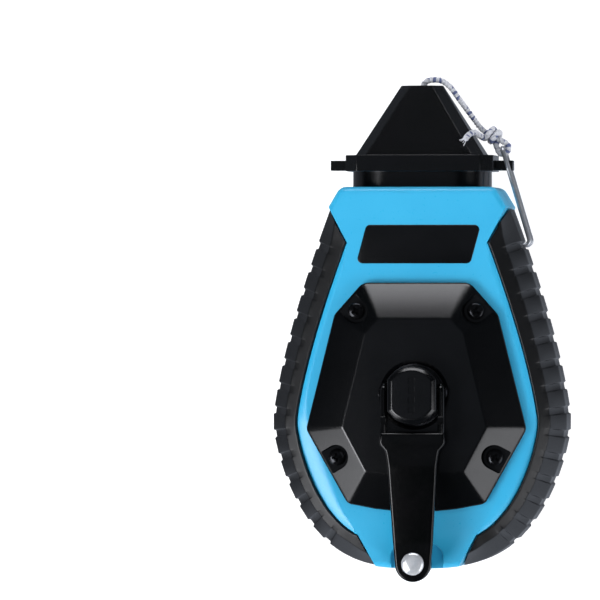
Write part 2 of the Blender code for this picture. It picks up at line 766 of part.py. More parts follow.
def front_shell():
    shell = outer_solid("front_shell", 1)
    cut(shell, cavity_solid(1))
    seam = MID_Z + SEAT_GAP / 2
    hole = SCREW_RADIUS + SEAT_GAP
    tip = CASE_SCREW_HEAD_DEPTH + SCREW_HEAD_HEIGHT + CASE_SCREW_LENGTH
    for place in case_screw_places():
        add(shell, cylinder("boss", CASE_BOSS_RADIUS, seam, CASE_DEPTH - WALL / 2, place, TINY_ROUND))
        cut(shell, cylinder("pilot", hole, seam - WALL, tip + SEAT_GAP, place, TINY_ROUND))
    for place in cover_screw_places():
        top = CASE_DEPTH - WALL / 2
        add(shell, cylinder("boss", COVER_BOSS_RADIUS, COVER_BOSS_Z, top, place, TINY_ROUND))
        low = COVER_SCREW_TIP_Z - SEAT_GAP
        cut(shell, cylinder("pilot", hole, low, CASE_DEPTH + WALL, place, TINY_ROUND))
    seal_hole = SPOOL_NECK_RADIUS + RUN_GAP + SEAL_WIDTH + SEAT_GAP
    cut(shell, cylinder("seal_hole", seal_hole, CASE_DEPTH - 2 * WALL, CASE_DEPTH + WALL, count=ROUND))
    cut(shell, prism("notch", notch_outline(), CASE_DEPTH - NOTCH_DEPTH, CASE_DEPTH + WALL))
    cut(shell, mouth_cutter())
    return shell


def rear_shell():
    shell = outer_solid("rear_shell", -1)
    cut(shell, cavity_solid(-1))
    seam = MID_Z - SEAT_GAP / 2
    seat = CASE_SCREW_HEAD_DEPTH + SCREW_HEAD_HEIGHT + SEAT_GAP
    for place in case_screw_places():
        add(shell, cylinder("boss", CASE_BOSS_RADIUS, WALL / 2, seam, place, TINY_ROUND))
        cut(shell, cylinder("hole", SCREW_RADIUS + SEAT_GAP, -WALL, MID_Z + WALL, place, TINY_ROUND))
        cut(shell, cylinder("seat", SCREW_HEAD_RADIUS + SEAT_GAP, -WALL, seat, place))
    add(shell, cylinder("axle_boss", AXLE_BOSS_RADIUS, WALL / 2, WALL + AXLE_BOSS_HEIGHT))
    socket = AXLE_RADIUS + RUN_GAP
    cut(shell, cylinder("socket", socket, WALL + AXLE_SOCKET_FLOOR, WALL + 2 * AXLE_BOSS_HEIGHT))
    cut(shell, mouth_cutter())
    return shell


# Gear cover

def cover_outline(top, upper, wide, lower, bottom_y):
    """A counter-clockwise eight-sided outline with a bowed bottom edge."""
    bottom = [(lower[0] * f, bottom_y + (lower[1] - bottom_y) * f * f) for f in COVER_BOW_SHARES]
    right = [lower, wide, upper, top]
    left = [(-x, y) for x, y in right[::-1]]
    return bottom + right + left


def base_outline():
    return cover_outline(COVER_BASE_TOP, COVER_BASE_UPPER, COVER_BASE_WIDE, COVER_BASE_LOWER,
                         COVER_BASE_BOTTOM_Y)


def plateau_outline():
    return cover_outline(PLATEAU_TOP, PLATEAU_UPPER, PLATEAU_WIDE, PLATEAU_LOWER, PLATEAU_BOTTOM_Y)


def pocket_outline(place, direction):
    """A screw pocket: round inside, with straight sides out to the cover's edge."""
    facing = math.atan2(direction[1], direction[0])
    angles = [facing + math.pi / 2 + math.pi * i / TINY_ROUND for i in range(TINY_ROUND + 1)]
    x, y = place
    inner = [(x + COVER_POCKET_RADIUS * math.cos(a), y + COVER_POCKET_RADIUS * math.sin(a)) for a in angles]
    out_x = direction[0] * COVER_POCKET_REACH
    out_y = direction[1] * COVER_POCKET_REACH
    far = [(inner[-1][0] + out_x, inner[-1][1] + out_y), (inner[0][0] + out_x, inner[0][1] + out_y)]
    return inner + far


def pocket_directions():
    """Outward directions of the bevel faces that hold the four cover screws."""
    (ux, uy), _ = towards(COVER_BASE_UPPER, COVER_BASE_TOP)
    (lx, ly), _ = towards(COVER_BASE_LOWER, COVER_BASE_WIDE)
    return [(-uy, -ux), (uy, -ux), (-ly, -lx), (ly, -lx)]


def gear_cover():
    base = base_outline()
    plateau = plateau_outline()
    skirt_z = COVER_BASE_Z + COVER_SKIRT
    loops = [at_z(base, COVER_BASE_Z), at_z(base, skirt_z), at_z(plateau, PLATEAU_Z)]
    cover = triangulated(loft("gear_cover", loops))
    inner = offset_closed(base, COVER_SIDE_WALL)
    below = COVER_BASE_Z - WALL
    loops = [at_z(inner, below), at_z(inner, skirt_z), at_z(plateau, COVER_CEILING_Z)]
    hollow = triangulated(loft("hollow", loops))
    post = COVER_POCKET_RADIUS + COVER_POCKET_WALL
    for place in cover_screw_places():
        cut(hollow, cylinder("post", post, below - WALL, PLATEAU_Z, place, TINY_ROUND))
    cut(cover, hollow)
    for place, direction in zip(cover_screw_places(), pocket_directions()):
        cut(cover, prism("pocket", pocket_outline(place, direction), POCKET_FLOOR_Z, PLATEAU_Z + WALL))
        hole = SCREW_RADIUS + SEAT_GAP
        cut(cover, cylinder("hole", hole, below, PLATEAU_Z, place, TINY_ROUND))
    hub_hole = HUB_RADIUS + HUB_HOLE_CLEARANCE
    rim = (hub_hole + 2 * HUB_HOLE_CHAMFER, PLATEAU_Z + HUB_HOLE_CHAMFER)
    cut(cover, turned("hub_hole", [(hub_hole, below), (hub_hole, PLATEAU_Z - HUB_HOLE_CHAMFER), rim]))
    return cover


def cover_gasket():
    outer = offset_closed(base_outline(), GASKET_INSET)
    inner = offset_closed(base_outline(), GASKET_INSET + GASKET_WIDTH)
    low = CASE_DEPTH + SEAT_GAP
    high = low + GASKET_THICKNESS
    loops = [at_z(outer, low), at_z(outer, high), at_z(inner, high), at_z(inner, low)]
    return loft("cover_gasket", loops, closed=True)


# Screws: a pan head with a cross recess, its seat at the local origin

def cross_outline(reach, half):
    quarter = [(reach, -half), (reach, half), (half, half)]
    points = []
    for turn in range(4):
        c, s = (1, 0, -1, 0)[turn], (0, 1, 0, -1)[turn]
        points += [(c * x - s * y, s * x + c * y) for x, y in quarter]
    return points


def screw(name, length):
    rim = SCREW_HEAD_RADIUS
    top = SCREW_HEAD_HEIGHT
    profile = [(SCREW_RADIUS, -length), (SCREW_RADIUS, 0.0), (rim, 0.0)]
    profile += [(rim * across, top * up) for across, up in SCREW_DOME]
    made = turned(name, profile, TINY_ROUND)
    cross = cross_outline(SCREW_CROSS_REACH, SCREW_CROSS_HALF)
    cut(made, prism("recess", cross, top - SCREW_CROSS_DEPTH, top + SCREW_CROSS_DEPTH))
    return made


def copies(first, names, places, z, turn):
    """Objects that share one mesh, set at places on a level and turned about X."""
    made = []
    for name, (x, y) in zip(names, places):
        copy = bpy.data.objects.new(name, first.data)
        copy.location = (x, y, z)
        copy.rotation_euler = (turn, 0.0, 0.0)
        bpy.context.scene.collection.objects.link(copy)
        made.append(copy)
    bpy.data.objects.remove(first)
    return made


def cover_screws():
    names = [f"cover_screw_{i}" for i in (1, 2, 3, 4)]
    seat = POCKET_FLOOR_Z + SEAT_GAP
    return copies(screw("cover_screw", COVER_SCREW_LENGTH), names, cover_screw_places(), seat, 0.0)


def case_screws():
    names = [f"case_screw_{i}" for i in (1, 2, 3, 4)]
    seat = CASE_SCREW_HEAD_DEPTH + SCREW_HEAD_HEIGHT
    return copies(screw("case_screw", CASE_SCREW_LENGTH), names, case_screw_places(), seat, math.pi)


# Spool, axle and seal

def spool():
    neck_top = GEAR_Z - SEAT_GAP
    rear = SPOOL_REAR_Z + SPOOL_FLANGE_THICKNESS
    front = SPOOL_FRONT_Z - SPOOL_FLANGE_THICKNESS
    profile = [(WASHER_RADIUS, SPOOL_BACK_Z), (WASHER_RADIUS, SPOOL_REAR_Z),
               (SPOOL_FLANGE_RADIUS, SPOOL_REAR_Z), (SPOOL_FLANGE_RADIUS, rear),
               (SPOOL_CORE_RADIUS, rear), (SPOOL_CORE_RADIUS, front),
               (SPOOL_FLANGE_RADIUS, front), (SPOOL_FLANGE_RADIUS, SPOOL_FRONT_Z),
               (SPOOL_NECK_RADIUS, SPOOL_FRONT_Z), (SPOOL_NECK_RADIUS, neck_top)]
    made = turned("spool", profile, SMALL_ROUND)
    add(made, prism("spigot", circle(SUN_HEX_RADIUS, 6), neck_top - WALL, GEAR_TOP_Z))
    bore = AXLE_RADIUS + RUN_GAP
    cut(made, cylinder("bore", bore, SPOOL_BACK_Z - WALL, GEAR_TOP_Z + WALL))
    return made


def line_winding():
    inner = SPOOL_CORE_RADIUS + SEAT_GAP
    low = SPOOL_REAR_Z + SPOOL_FLANGE_THICKNESS + SEAT_GAP
    high = SPOOL_FRONT_Z - SPOOL_FLANGE_THICKNESS - SEAT_GAP
    profile = [(inner, low), (WINDING_RADIUS, low), (WINDING_RADIUS, high), (inner, high)]
    return turned("line_winding", profile, SMALL_ROUND, bored=True)


def spool_axle():
    return cylinder("spool_axle", AXLE_RADIUS, WALL + AXLE_SOCKET_FLOOR + SEAT_GAP, AXLE_TOP_Z)


def axle_washer():
    inner = AXLE_RADIUS + RUN_GAP
    high = WASHER_Z + WASHER_THICKNESS
    profile = [(inner, WASHER_Z), (WASHER_RADIUS, WASHER_Z), (WASHER_RADIUS, high), (inner, high)]
    return turned("axle_washer", profile, SMALL_ROUND, bored=True)


def chalk_seal():
    inner = SPOOL_NECK_RADIUS + RUN_GAP
    outer = inner + SEAL_WIDTH
    low, high = CASE_DEPTH - WALL, CASE_DEPTH - SEAT_GAP
    profile = [(inner, low), (outer, low), (outer, high), (inner, high)]
    return turned("chalk_seal", profile, SMALL_ROUND, bored=True)


# Gears

def involute(angle):
    return math.tan(angle) - angle


def toothed_outline(teeth, radii, widening, start):
    """Teeth with involute flanks through the radii; widening adds to the pitch thickness."""
    pitch = GEAR_MODULE * teeth / 2
    base = pitch * math.cos(PRESSURE_ANGLE)
    half = math.pi / (2 * teeth) + widening / (2 * pitch) + involute(PRESSURE_ANGLE)
    flank = [(r, half - involute(math.acos(min(1.0, base / r)))) for r in radii]
    points = []
    for i in range(teeth):
        middle = start + 2 * math.pi * i / teeth
        points += [(r * math.cos(middle - a), r * math.sin(middle - a)) for r, a in flank]
        points += [(r * math.cos(middle + a), r * math.sin(middle + a)) for r, a in flank[::-1]]
    return points


def outer_gear(name, teeth, start):
    pitch = GEAR_MODULE * teeth / 2
    radii = (pitch - TOOTH_DEPTH * GEAR_MODULE, pitch + GEAR_MODULE)
    return prism(name, toothed_outline(teeth, radii, -TOOTH_THINNING, start), GEAR_Z, GEAR_TOP_Z)


def sun_gear():
    made = outer_gear("sun_gear", SUN_TEETH, 0.0)
    hex_hole = circle(SUN_HEX_RADIUS + SEAT_GAP, 6)
    cut(made, prism("hex_hole", hex_hole, GEAR_Z - WALL, GEAR_TOP_Z + WALL))
    return made


def ring_gear():
    pitch = GEAR_MODULE * RING_TEETH / 2
    root = pitch + TOOTH_DEPTH * GEAR_MODULE
    tip = pitch - RING_TOOTH_HEIGHT * GEAR_MODULE
    low = CASE_DEPTH + SEAT_GAP
    made = cylinder("ring_gear", root + RING_RIM, low, GEAR_TOP_Z, count=ROUND)
    half_tooth = math.pi / RING_TEETH
    spaces = toothed_outline(RING_TEETH, (tip, root), TOOTH_THINNING, half_tooth)
    cut(made, prism("spaces", spaces, low - WALL, GEAR_TOP_Z + WALL))
    return made


def planet_angles():
    return [math.pi / 2 + 2 * math.pi * i / PLANET_COUNT for i in range(PLANET_COUNT)]


def planet_places():
    return [(PLANET_REACH * math.cos(a), PLANET_REACH * math.sin(a)) for a in planet_angles()]


def planet_gears():
    """Planet gears, each with a tooth turned to the sun and to the ring."""
    made = []
    for i, (angle, (x, y)) in enumerate(zip(planet_angles(), planet_places())):
        gear = outer_gear(f"planet_gear_{i + 1}", PLANET_TEETH, angle)
        bore = PLANET_PIN_RADIUS + RUN_GAP
        cut(gear, cylinder("bore", bore, GEAR_Z - WALL, GEAR_TOP_Z + WALL, count=TINY_ROUND))
        gear.data.transform(Matrix.Translation((x, y, 0.0)))
        made.append(gear)
    return made


def planet_pins():
    top = CARRIER_Z + CARRIER_THICKNESS
    names = [f"planet_pin_{i + 1}" for i in range(PLANET_COUNT)]
    return [cylinder(name, PLANET_PIN_RADIUS, GEAR_Z, top, place, TINY_ROUND)
            for name, place in zip(names, planet_places())]


def planet_carrier():
    radius = PLANET_REACH + PLANET_PIN_RADIUS + CARRIER_RIM
    top = CARRIER_Z + CARRIER_THICKNESS
    made = cylinder("planet_carrier", radius, CARRIER_Z, top, count=ROUND)
    hex_hole = circle(HUB_HEX_RADIUS + SEAT_GAP, 6)
    cut(made, prism("hex_hole", hex_hole, CARRIER_Z - WALL, top + WALL))
    for place in planet_places():
        hole = PLANET_PIN_RADIUS + RUN_GAP
        cut(made, cylinder("hole", hole, CARRIER_Z - WALL, top + WALL, place, TINY_ROUND))
    return made


# Crank hub, button and hinge pins

def along_x(outline, x):
    return [(x, y, z) for y, z in outline]


def hinge_circle(radius, count=SMALL_ROUND):
    return circle(radius, count, (HINGE_Y, HINGE_Z))


def crank_hub():
    hub = cylinder("crank_hub", HUB_RADIUS, HUB_BASE_Z, SHOULDER_Z, count=ROUND)
    tower = double_d(HUB_RADIUS - SEAT_GAP, HUB_FLAT)
    add(hub, prism("tower", tower, HUB_BASE_Z + SEAT_GAP, TOWER_TOP_Z))
    add(hub, prism("spigot", circle(HUB_HEX_RADIUS, 6), CARRIER_Z, HUB_BASE_Z + SEAT_GAP))
    cut(hub, cylinder("axle_bore", AXLE_RADIUS + RUN_GAP, CARRIER_Z - WALL, AXLE_TOP_Z + SEAT_GAP))
    cut(hub, cylinder("stem_bore", BUTTON_STEM_RADIUS + RUN_GAP, SPRING_SEAT_Z, TOWER_TOP_Z + WALL))
    hole = hinge_circle(HINGE_PIN_RADIUS + RUN_GAP, TINY_ROUND)
    deep = HUB_FLAT - HINGE_PIN_DEPTH - SEAT_GAP
    for side in (-1, 1):
        ends = [along_x(hole, side * deep), along_x(hole, side * (HUB_FLAT + WALL))]
        cut(hub, loft("pin_hole", ends))
    return hub


def push_button():
    top = BUTTON_Z + BUTTON_THICKNESS
    rim = double_d(BUTTON_RADIUS, HUB_FLAT)
    face = double_d(BUTTON_RADIUS - BUTTON_BEVEL, HUB_FLAT - BUTTON_BEVEL)
    loops = [at_z(rim, BUTTON_Z), at_z(rim, top - BUTTON_BEVEL_DROP), at_z(face, top)]
    button = loft("push_button", loops)
    add(button, cylinder("stem", BUTTON_STEM_RADIUS, STEM_BOTTOM_Z, BUTTON_Z + BUTTON_THICKNESS / 2))
    return button


def clutch_spring():
    low = SPRING_SEAT_Z + SPRING_WIRE_RADIUS + SEAT_GAP
    high = STEM_BOTTOM_Z - SPRING_WIRE_RADIUS - SEAT_GAP
    count = int(SPRING_TURNS * COIL_STEPS)
    points = []
    for i in range(count + 1):
        angle = 2 * math.pi * SPRING_TURNS * i / count
        height = low + (high - low) * i / count
        points.append((SPRING_RADIUS * math.cos(angle), SPRING_RADIUS * math.sin(angle), height))
    return tube("clutch_spring", points, SPRING_WIRE_RADIUS, 1)


def hinge_pin(name, side):
    start = HUB_FLAT - HINGE_PIN_DEPTH
    head = EAR_OUTER_X + SEAT_GAP
    steps = [(HINGE_PIN_RADIUS, start), (HINGE_PIN_RADIUS, head), (HINGE_PIN_HEAD_RADIUS, head),
             (HINGE_PIN_HEAD_RADIUS, head + HINGE_PIN_HEAD / 2),
             (HINGE_PIN_RADIUS, head + HINGE_PIN_HEAD)]
    return loft(name, [along_x(hinge_circle(r, TINY_ROUND), side * x) for r, x in steps])


# Folding crank arm, knob and rivet

def channel(half, top, depth):
    """A channel section: a web with two flanges turned down towards the case."""
    side = min(ARM_SHEET, ARM_FLANGE_SHARE * half)
    low = top - depth
    web = top - ARM_SHEET
    return [(-half, top), (half, top), (half, low), (half - side, low), (half - side, web),
            (side - half, web), (side - half, low), (-half, low)]


def ear_outline():
    """An ear beside the hub, round about the hinge and running into the arm's flange."""
    angles = [math.pi / 2 - math.pi * i / TINY_ROUND for i in range(TINY_ROUND + 1)]
    end = [(HINGE_Y + EAR_RADIUS * math.cos(a), HINGE_Z + EAR_RADIUS * math.sin(a)) for a in angles]
    far = HINGE_Y - ARM_WEB_START - ARM_SHEET
    return end + [(far, ARM_TOP_Z - ARM_FLANGE + SEAT_GAP), (far, ARM_TOP_Z - SEAT_GAP)]


def crank_arm():
    ear_half = EAR_OUTER_X + SEAT_GAP / 2
    shoulder = ARM_WEB_START + ARM_SHOULDER_LENGTH
    lip = ARM_SHEET + ARM_LIP
    stations = [(ARM_WEB_START, ear_half, ARM_TOP_Z, ARM_FLANGE),
                (shoulder, ear_half + SEAT_GAP, ARM_TOP_Z, ARM_FLANGE),
                (shoulder + ARM_JOG_LENGTH, ARM_NECK_HALF_WIDTH, ARM_TOP_Z, ARM_FLANGE),
                (ARM_FIRST_BEND, ARM_UPPER_HALF_WIDTH, ARM_TOP_Z, ARM_FLANGE),
                (ARM_SECOND_BEND, ARM_LOWER_HALF_WIDTH, PAD_TOP_Z, lip)]
    for angle in [math.radians(a) for a in ARM_END_ANGLES]:
        reach = ARM_KNOB_REACH + ARM_END_RADIUS * math.sin(angle)
        stations.append((reach, ARM_END_RADIUS * math.cos(angle), PAD_TOP_Z, lip))
    loops = []
    for reach, half, top, depth in stations:
        loops.append([(x, HINGE_Y - reach, z) for x, z in channel(half, top, depth)])
    arm = loft("crank_arm", loops)
    ear = ear_outline()
    hole = hinge_circle(HINGE_PIN_RADIUS + RUN_GAP)
    for side in (-1, 1):
        add(arm, loft("ear", [along_x(ear, side * EAR_INNER_X), along_x(ear, side * EAR_OUTER_X)]))
        ends = [along_x(hole, side * (EAR_INNER_X - WALL)), along_x(hole, side * (EAR_OUTER_X + WALL))]
        cut(arm, loft("pin_hole", ends))
    rivet_hole = RIVET_RADIUS + SEAT_GAP
    cut(arm, cylinder("rivet_hole", rivet_hole, KNOB_TOP_Z, ARM_TOP_Z, (0.0, KNOB_Y), TINY_ROUND))
    return arm


def knob_rivet():
    tail = KNOB_BASE_Z + RIVET_TAIL_DEPTH
    seat = PAD_TOP_Z + SEAT_GAP
    profile = [(RIVET_TAIL_RADIUS, tail), (RIVET_TAIL_RADIUS, tail + RIVET_TAIL_HEIGHT),
               (RIVET_RADIUS, tail + RIVET_TAIL_HEIGHT), (RIVET_RADIUS, seat)]
    for angle in [math.radians(a) for a in RIVET_DOME_ANGLES]:
        profile.append((RIVET_HEAD_RADIUS * math.cos(angle), seat + RIVET_HEAD_HEIGHT * math.sin(angle)))
    return turned("knob_rivet", profile, SMALL_ROUND, centre=(0.0, KNOB_Y))


def crank_knob():
    bore = RIVET_RADIUS + RUN_GAP
    recess = RIVET_TAIL_RADIUS + RUN_GAP
    step = KNOB_BASE_Z + RIVET_TAIL_DEPTH + RIVET_TAIL_HEIGHT + SEAT_GAP
    profile = [(KNOB_RADIUS - KNOB_EDGE, KNOB_BASE_Z), (KNOB_RADIUS, KNOB_BASE_Z + KNOB_EDGE),
               (KNOB_RADIUS, KNOB_TOP_Z - KNOB_EDGE), (KNOB_RADIUS - KNOB_EDGE, KNOB_TOP_Z),
               (bore, KNOB_TOP_Z), (bore, step), (recess, step), (recess, KNOB_BASE_Z)]
    return turned("crank_knob", profile, bored=True, count=SMALL_ROUND, centre=(0.0, KNOB_Y))


# Nose cap, wiper and seal

def chamfered(half_width, half_depth, corner):
    """A rectangle with cut corners, in X and Z about the middle plane."""
    w, d, c = half_width, half_depth, corner
    flat = [(w, c - d), (w, d - c), (w - c, d), (c - w, d)]
    flat += [(-x, -z) for x, z in flat]
    return [(x, MID_Z + z) for x, z in flat]


def nose_outline(y, inset):
    """The nose's outline at a height, inset by a wall."""
    share = (y - FLANGE_TOP_Y) / NOSE_HEIGHT
    width = NOSE_BASE_HALF_WIDTH + (NOSE_TIP_HALF_WIDTH - NOSE_BASE_HALF_WIDTH) * share
    depth = NOSE_BASE_HALF_DEPTH + (NOSE_TIP_HALF_DEPTH - NOSE_BASE_HALF_DEPTH) * share
    corner = NOSE_BASE_CORNER + (NOSE_TIP_CORNER - NOSE_BASE_CORNER) * share
    return chamfered(width - inset, depth - inset, corner)


def nose_loft(name, low, high, inset):
    return loft(name, [along_y(nose_outline(low, inset), low), along_y(nose_outline(high, inset), high)])


def around_y(name, radius, low, high):
    ring = circle(radius, SMALL_ROUND, (0.0, MID_Z))
    return loft(name, [along_y(ring, low), along_y(ring, high)])


def neck_ring(name, outer, inner, low, high):
    """A band round the neck, between two insets from its outside."""
    out = stadium(NECK_HALF_WIDTH - outer, NECK_HALF_DEPTH - outer)
    back = stadium(NECK_HALF_WIDTH - inner, NECK_HALF_DEPTH - inner)
    loops = [along_y(out, low), along_y(out, high), along_y(back, high), along_y(back, low)]
    return loft(name, loops, closed=True)


def nose_cap():
    flange = chamfered(FLANGE_HALF_WIDTH, FLANGE_HALF_DEPTH, FLANGE_CORNER)
    base = nose_outline(FLANGE_TOP_Y, 0.0)
    tip = nose_outline(NOSE_TOP_Y, 0.0)
    cap = loft("nose_cap", [along_y(flange, NECK_TOP_Y), along_y(flange, FLANGE_TOP_Y),
                            along_y(base, FLANGE_TOP_Y), along_y(tip, NOSE_TOP_Y)])
    bar = [(-TAB_HALF_SPAN, MID_Z - TAB_HALF_WIDTH), (TAB_HALF_SPAN, MID_Z - TAB_HALF_WIDTH),
           (TAB_HALF_SPAN, MID_Z + TAB_HALF_WIDTH), (-TAB_HALF_SPAN, MID_Z + TAB_HALF_WIDTH)]
    tab_y = NECK_TOP_Y + SEAT_GAP
    add(cap, loft("tabs", [along_y(bar, tab_y), along_y(bar, tab_y + TAB_HEIGHT)]))
    add(cap, neck_solid("neck", NECK_HALF_WIDTH, NECK_HALF_DEPTH, PLUG_BOTTOM_Y, NECK_TOP_Y + WALL))
    cut(cap, neck_solid("bore", NECK_HALF_WIDTH - PLUG_WALL, NECK_HALF_DEPTH - PLUG_WALL,
                        PLUG_BOTTOM_Y - WALL, FLANGE_TOP_Y - WALL))
    cut(cap, nose_loft("hollow", FLANGE_TOP_Y - 2 * WALL, NOSE_TOP_Y - NOSE_TOP_WALL, NOSE_WALL + SEAT_GAP))
    cut(cap, around_y("line_hole", LINE_HOLE_RADIUS, NOSE_TOP_Y - 2 * NOSE_TOP_WALL, NOSE_TOP_Y + WALL))
    low = PLUG_BOTTOM_Y + CAP_SEAL_RISE
    groove = CAP_SEAL_DEPTH + SEAT_GAP
    cut(cap, neck_ring("groove", -WALL, groove, low - SEAT_GAP, low + CAP_SEAL_HEIGHT + SEAT_GAP))
    return cap


def cap_seal():
    low = PLUG_BOTTOM_Y + CAP_SEAL_RISE
    return neck_ring("cap_seal", 0.0, CAP_SEAL_DEPTH, low, low + CAP_SEAL_HEIGHT)


def line_wiper():
    wiper = nose_loft("line_wiper", WIPER_Y, WIPER_TOP_Y, NOSE_WALL + 2 * SEAT_GAP)
    cut(wiper, around_y("bore", LINE_RADIUS + WIPER_BORE_CLEARANCE, WIPER_Y - WALL, WIPER_TOP_Y + WALL))
    return wiper


# Hook and line

HOOK_TOP = (FLANGE_HALF_WIDTH + HOOK_OUT, FLANGE_TOP_Y + HOOK_UP)


def line_hook():
    """One bent wire: two prongs, two legs beside the cap's tab and a bar across the top."""
    tip_x, tip_y = edge_point(GROOVE_START)
    tip_x -= HOOK_TIP_INSET
    leg = [(tip_x + dx, tip_y + dy) for dx, dy in HOOK_PRONG]
    (dx, dy), length = towards(HOOK_TOP, leg[-1])
    for share in HOOK_LEG_SHARES:
        leg.append((HOOK_TOP[0] + dx * length * share, HOOK_TOP[1] + dy * length * share))
    leg.append((HOOK_TOP[0] + dx * HOOK_BEND, HOOK_TOP[1] + dy * HOOK_BEND))
    front = [(x, y, HOOK_LEG_Z) for x, y in leg]
    soft = HOOK_BEND_SHARE * HOOK_BEND
    front.append((HOOK_TOP[0] + dx * soft, HOOK_TOP[1] + dy * soft, HOOK_LEG_Z - soft))
    front.append((HOOK_TOP[0], HOOK_TOP[1], HOOK_LEG_Z - HOOK_BEND))
    rear = [(x, y, -z) for x, y, z in front[::-1]]
    wire = [(x, y, MID_Z + z) for x, y, z in front + rear]
    return tube("line_hook", wire, HOOK_WIRE_RADIUS, 2)


# The line's free end: up through the nose, over its tip and down to the hook
LINE_OUT = [(0.0000, 0.0884, 0.0200), (0.0000, 0.0950, 0.0200), (0.0001, 0.1004, 0.0200),
            (0.0010, 0.1027, 0.0202), (0.0032, 0.1035, 0.0204), (0.0064, 0.1032, 0.0206),
            (0.0092, 0.1012, 0.0208), (0.0117, 0.0979, 0.0210), (0.0142, 0.0945, 0.0212),
            (0.0168, 0.0910, 0.0214)]
# The short tail, from the knot round to the front of the nose
LINE_TAIL = [(0.0196, 0.0848, 0.0246), (0.0180, 0.0856, 0.0276), (0.0165, 0.0846, 0.0315),
             (0.0151, 0.0823, 0.0336)]
# Direction of the line through the knot, and its height there
KNOT_DIRECTION = (0.868, -0.496)
KNOT_Z = 0.0216


def knot_points():
    """The line round the hook's bar, back and wound about itself."""
    dx, dy = KNOT_DIRECTION
    nx, ny = -dy, dx
    loop = HOOK_WIRE_RADIUS + LINE_RADIUS + KNOT_GAP
    wrap = 2 * LINE_RADIUS + KNOT_GAP
    start_x, start_y = HOOK_TOP[0] + nx * loop, HOOK_TOP[1] + ny * loop

    def along(t, n, k):
        return (start_x + dx * t + nx * n, start_y + dy * t + ny * n, KNOT_Z + k)

    length = KNOT_PITCH * KNOT_TURNS
    near = KNOT_START
    points = [along(-near - length - KNOT_PITCH, 0.0, 0.0), along(-near - length / 2, 0.0, 0.0)]
    points.append(along(-near / 2, 0.0, 0.0))
    for angle in [math.radians(a) for a in KNOT_LOOP_ANGLES]:
        points.append(along(loop * math.cos(angle), loop * (math.sin(angle) - 1), 0.0))
    turns = int(KNOT_TURNS * COIL_STEPS)
    for i in range(turns + 1):
        angle = math.pi + 2 * math.pi * KNOT_TURNS * i / turns
        t = -near - length * i / turns
        points.append(along(t, wrap * math.cos(angle), wrap * math.sin(angle)))
    return points


def line_end():
    return tube("line_end", smooth(LINE_OUT + knot_points() + LINE_TAIL, 2), LINE_RADIUS, 2)


def line_inner_run():
    """The line inside the case, straight from the winding to the wiper."""
    end_y = WIPER_Y - LINE_RADIUS
    radius = WINDING_RADIUS + LINE_RADIUS + SEAT_GAP
    angle = math.pi / 2 + math.acos(radius / end_y)
    start = Vector((radius * math.cos(angle), radius * math.sin(angle), MID_Z))
    end = Vector((0.0, end_y, MID_Z))
    return tube("line_inner_run", [start.lerp(end, i / 8) for i in range(9)], LINE_RADIUS, 2)


# Materials and assembly

def linear(hex_colour):
    values = [int(hex_colour[i:i + 2], 16) / 255 for i in (0, 2, 4)]
    return [v / 12.92 if v <= 0.04045 else ((v + 0.055) / 1.055) ** 2.4 for v in values]


def material(name, hex_colour, roughness, metallic=0.0):
    made = bpy.data.materials.new(name)
    made.use_nodes = True
    shader = made.node_tree.nodes["Principled BSDF"]
    shader.inputs["Base Color"].default_value = (*linear(hex_colour), 1.0)
    shader.inputs["Roughness"].default_value = roughness
    shader.inputs["Metallic"].default_value = metallic
    return made


def body(name, place):
    """An empty on a moving body's axis, which its pieces hang from."""
    empty = bpy.data.objects.new(f"{name}_axis", None)
    empty.location = place
    bpy.context.scene.collection.objects.link(empty)
    return empty


def fit_out(pieces, parent, finish):
    """Give pieces their finish and hang them from their body's axis."""
    for piece in pieces:
        piece.data.materials.clear()
        piece.data.materials.append(finish)
        if piece.type == "MESH":
            piece.data.shade_smooth()
            piece.data.set_sharp_from_angle(angle=SHARP_ANGLE)
        piece.parent = parent
        piece.matrix_parent_inverse = Matrix.Translation(-Vector(parent.location))


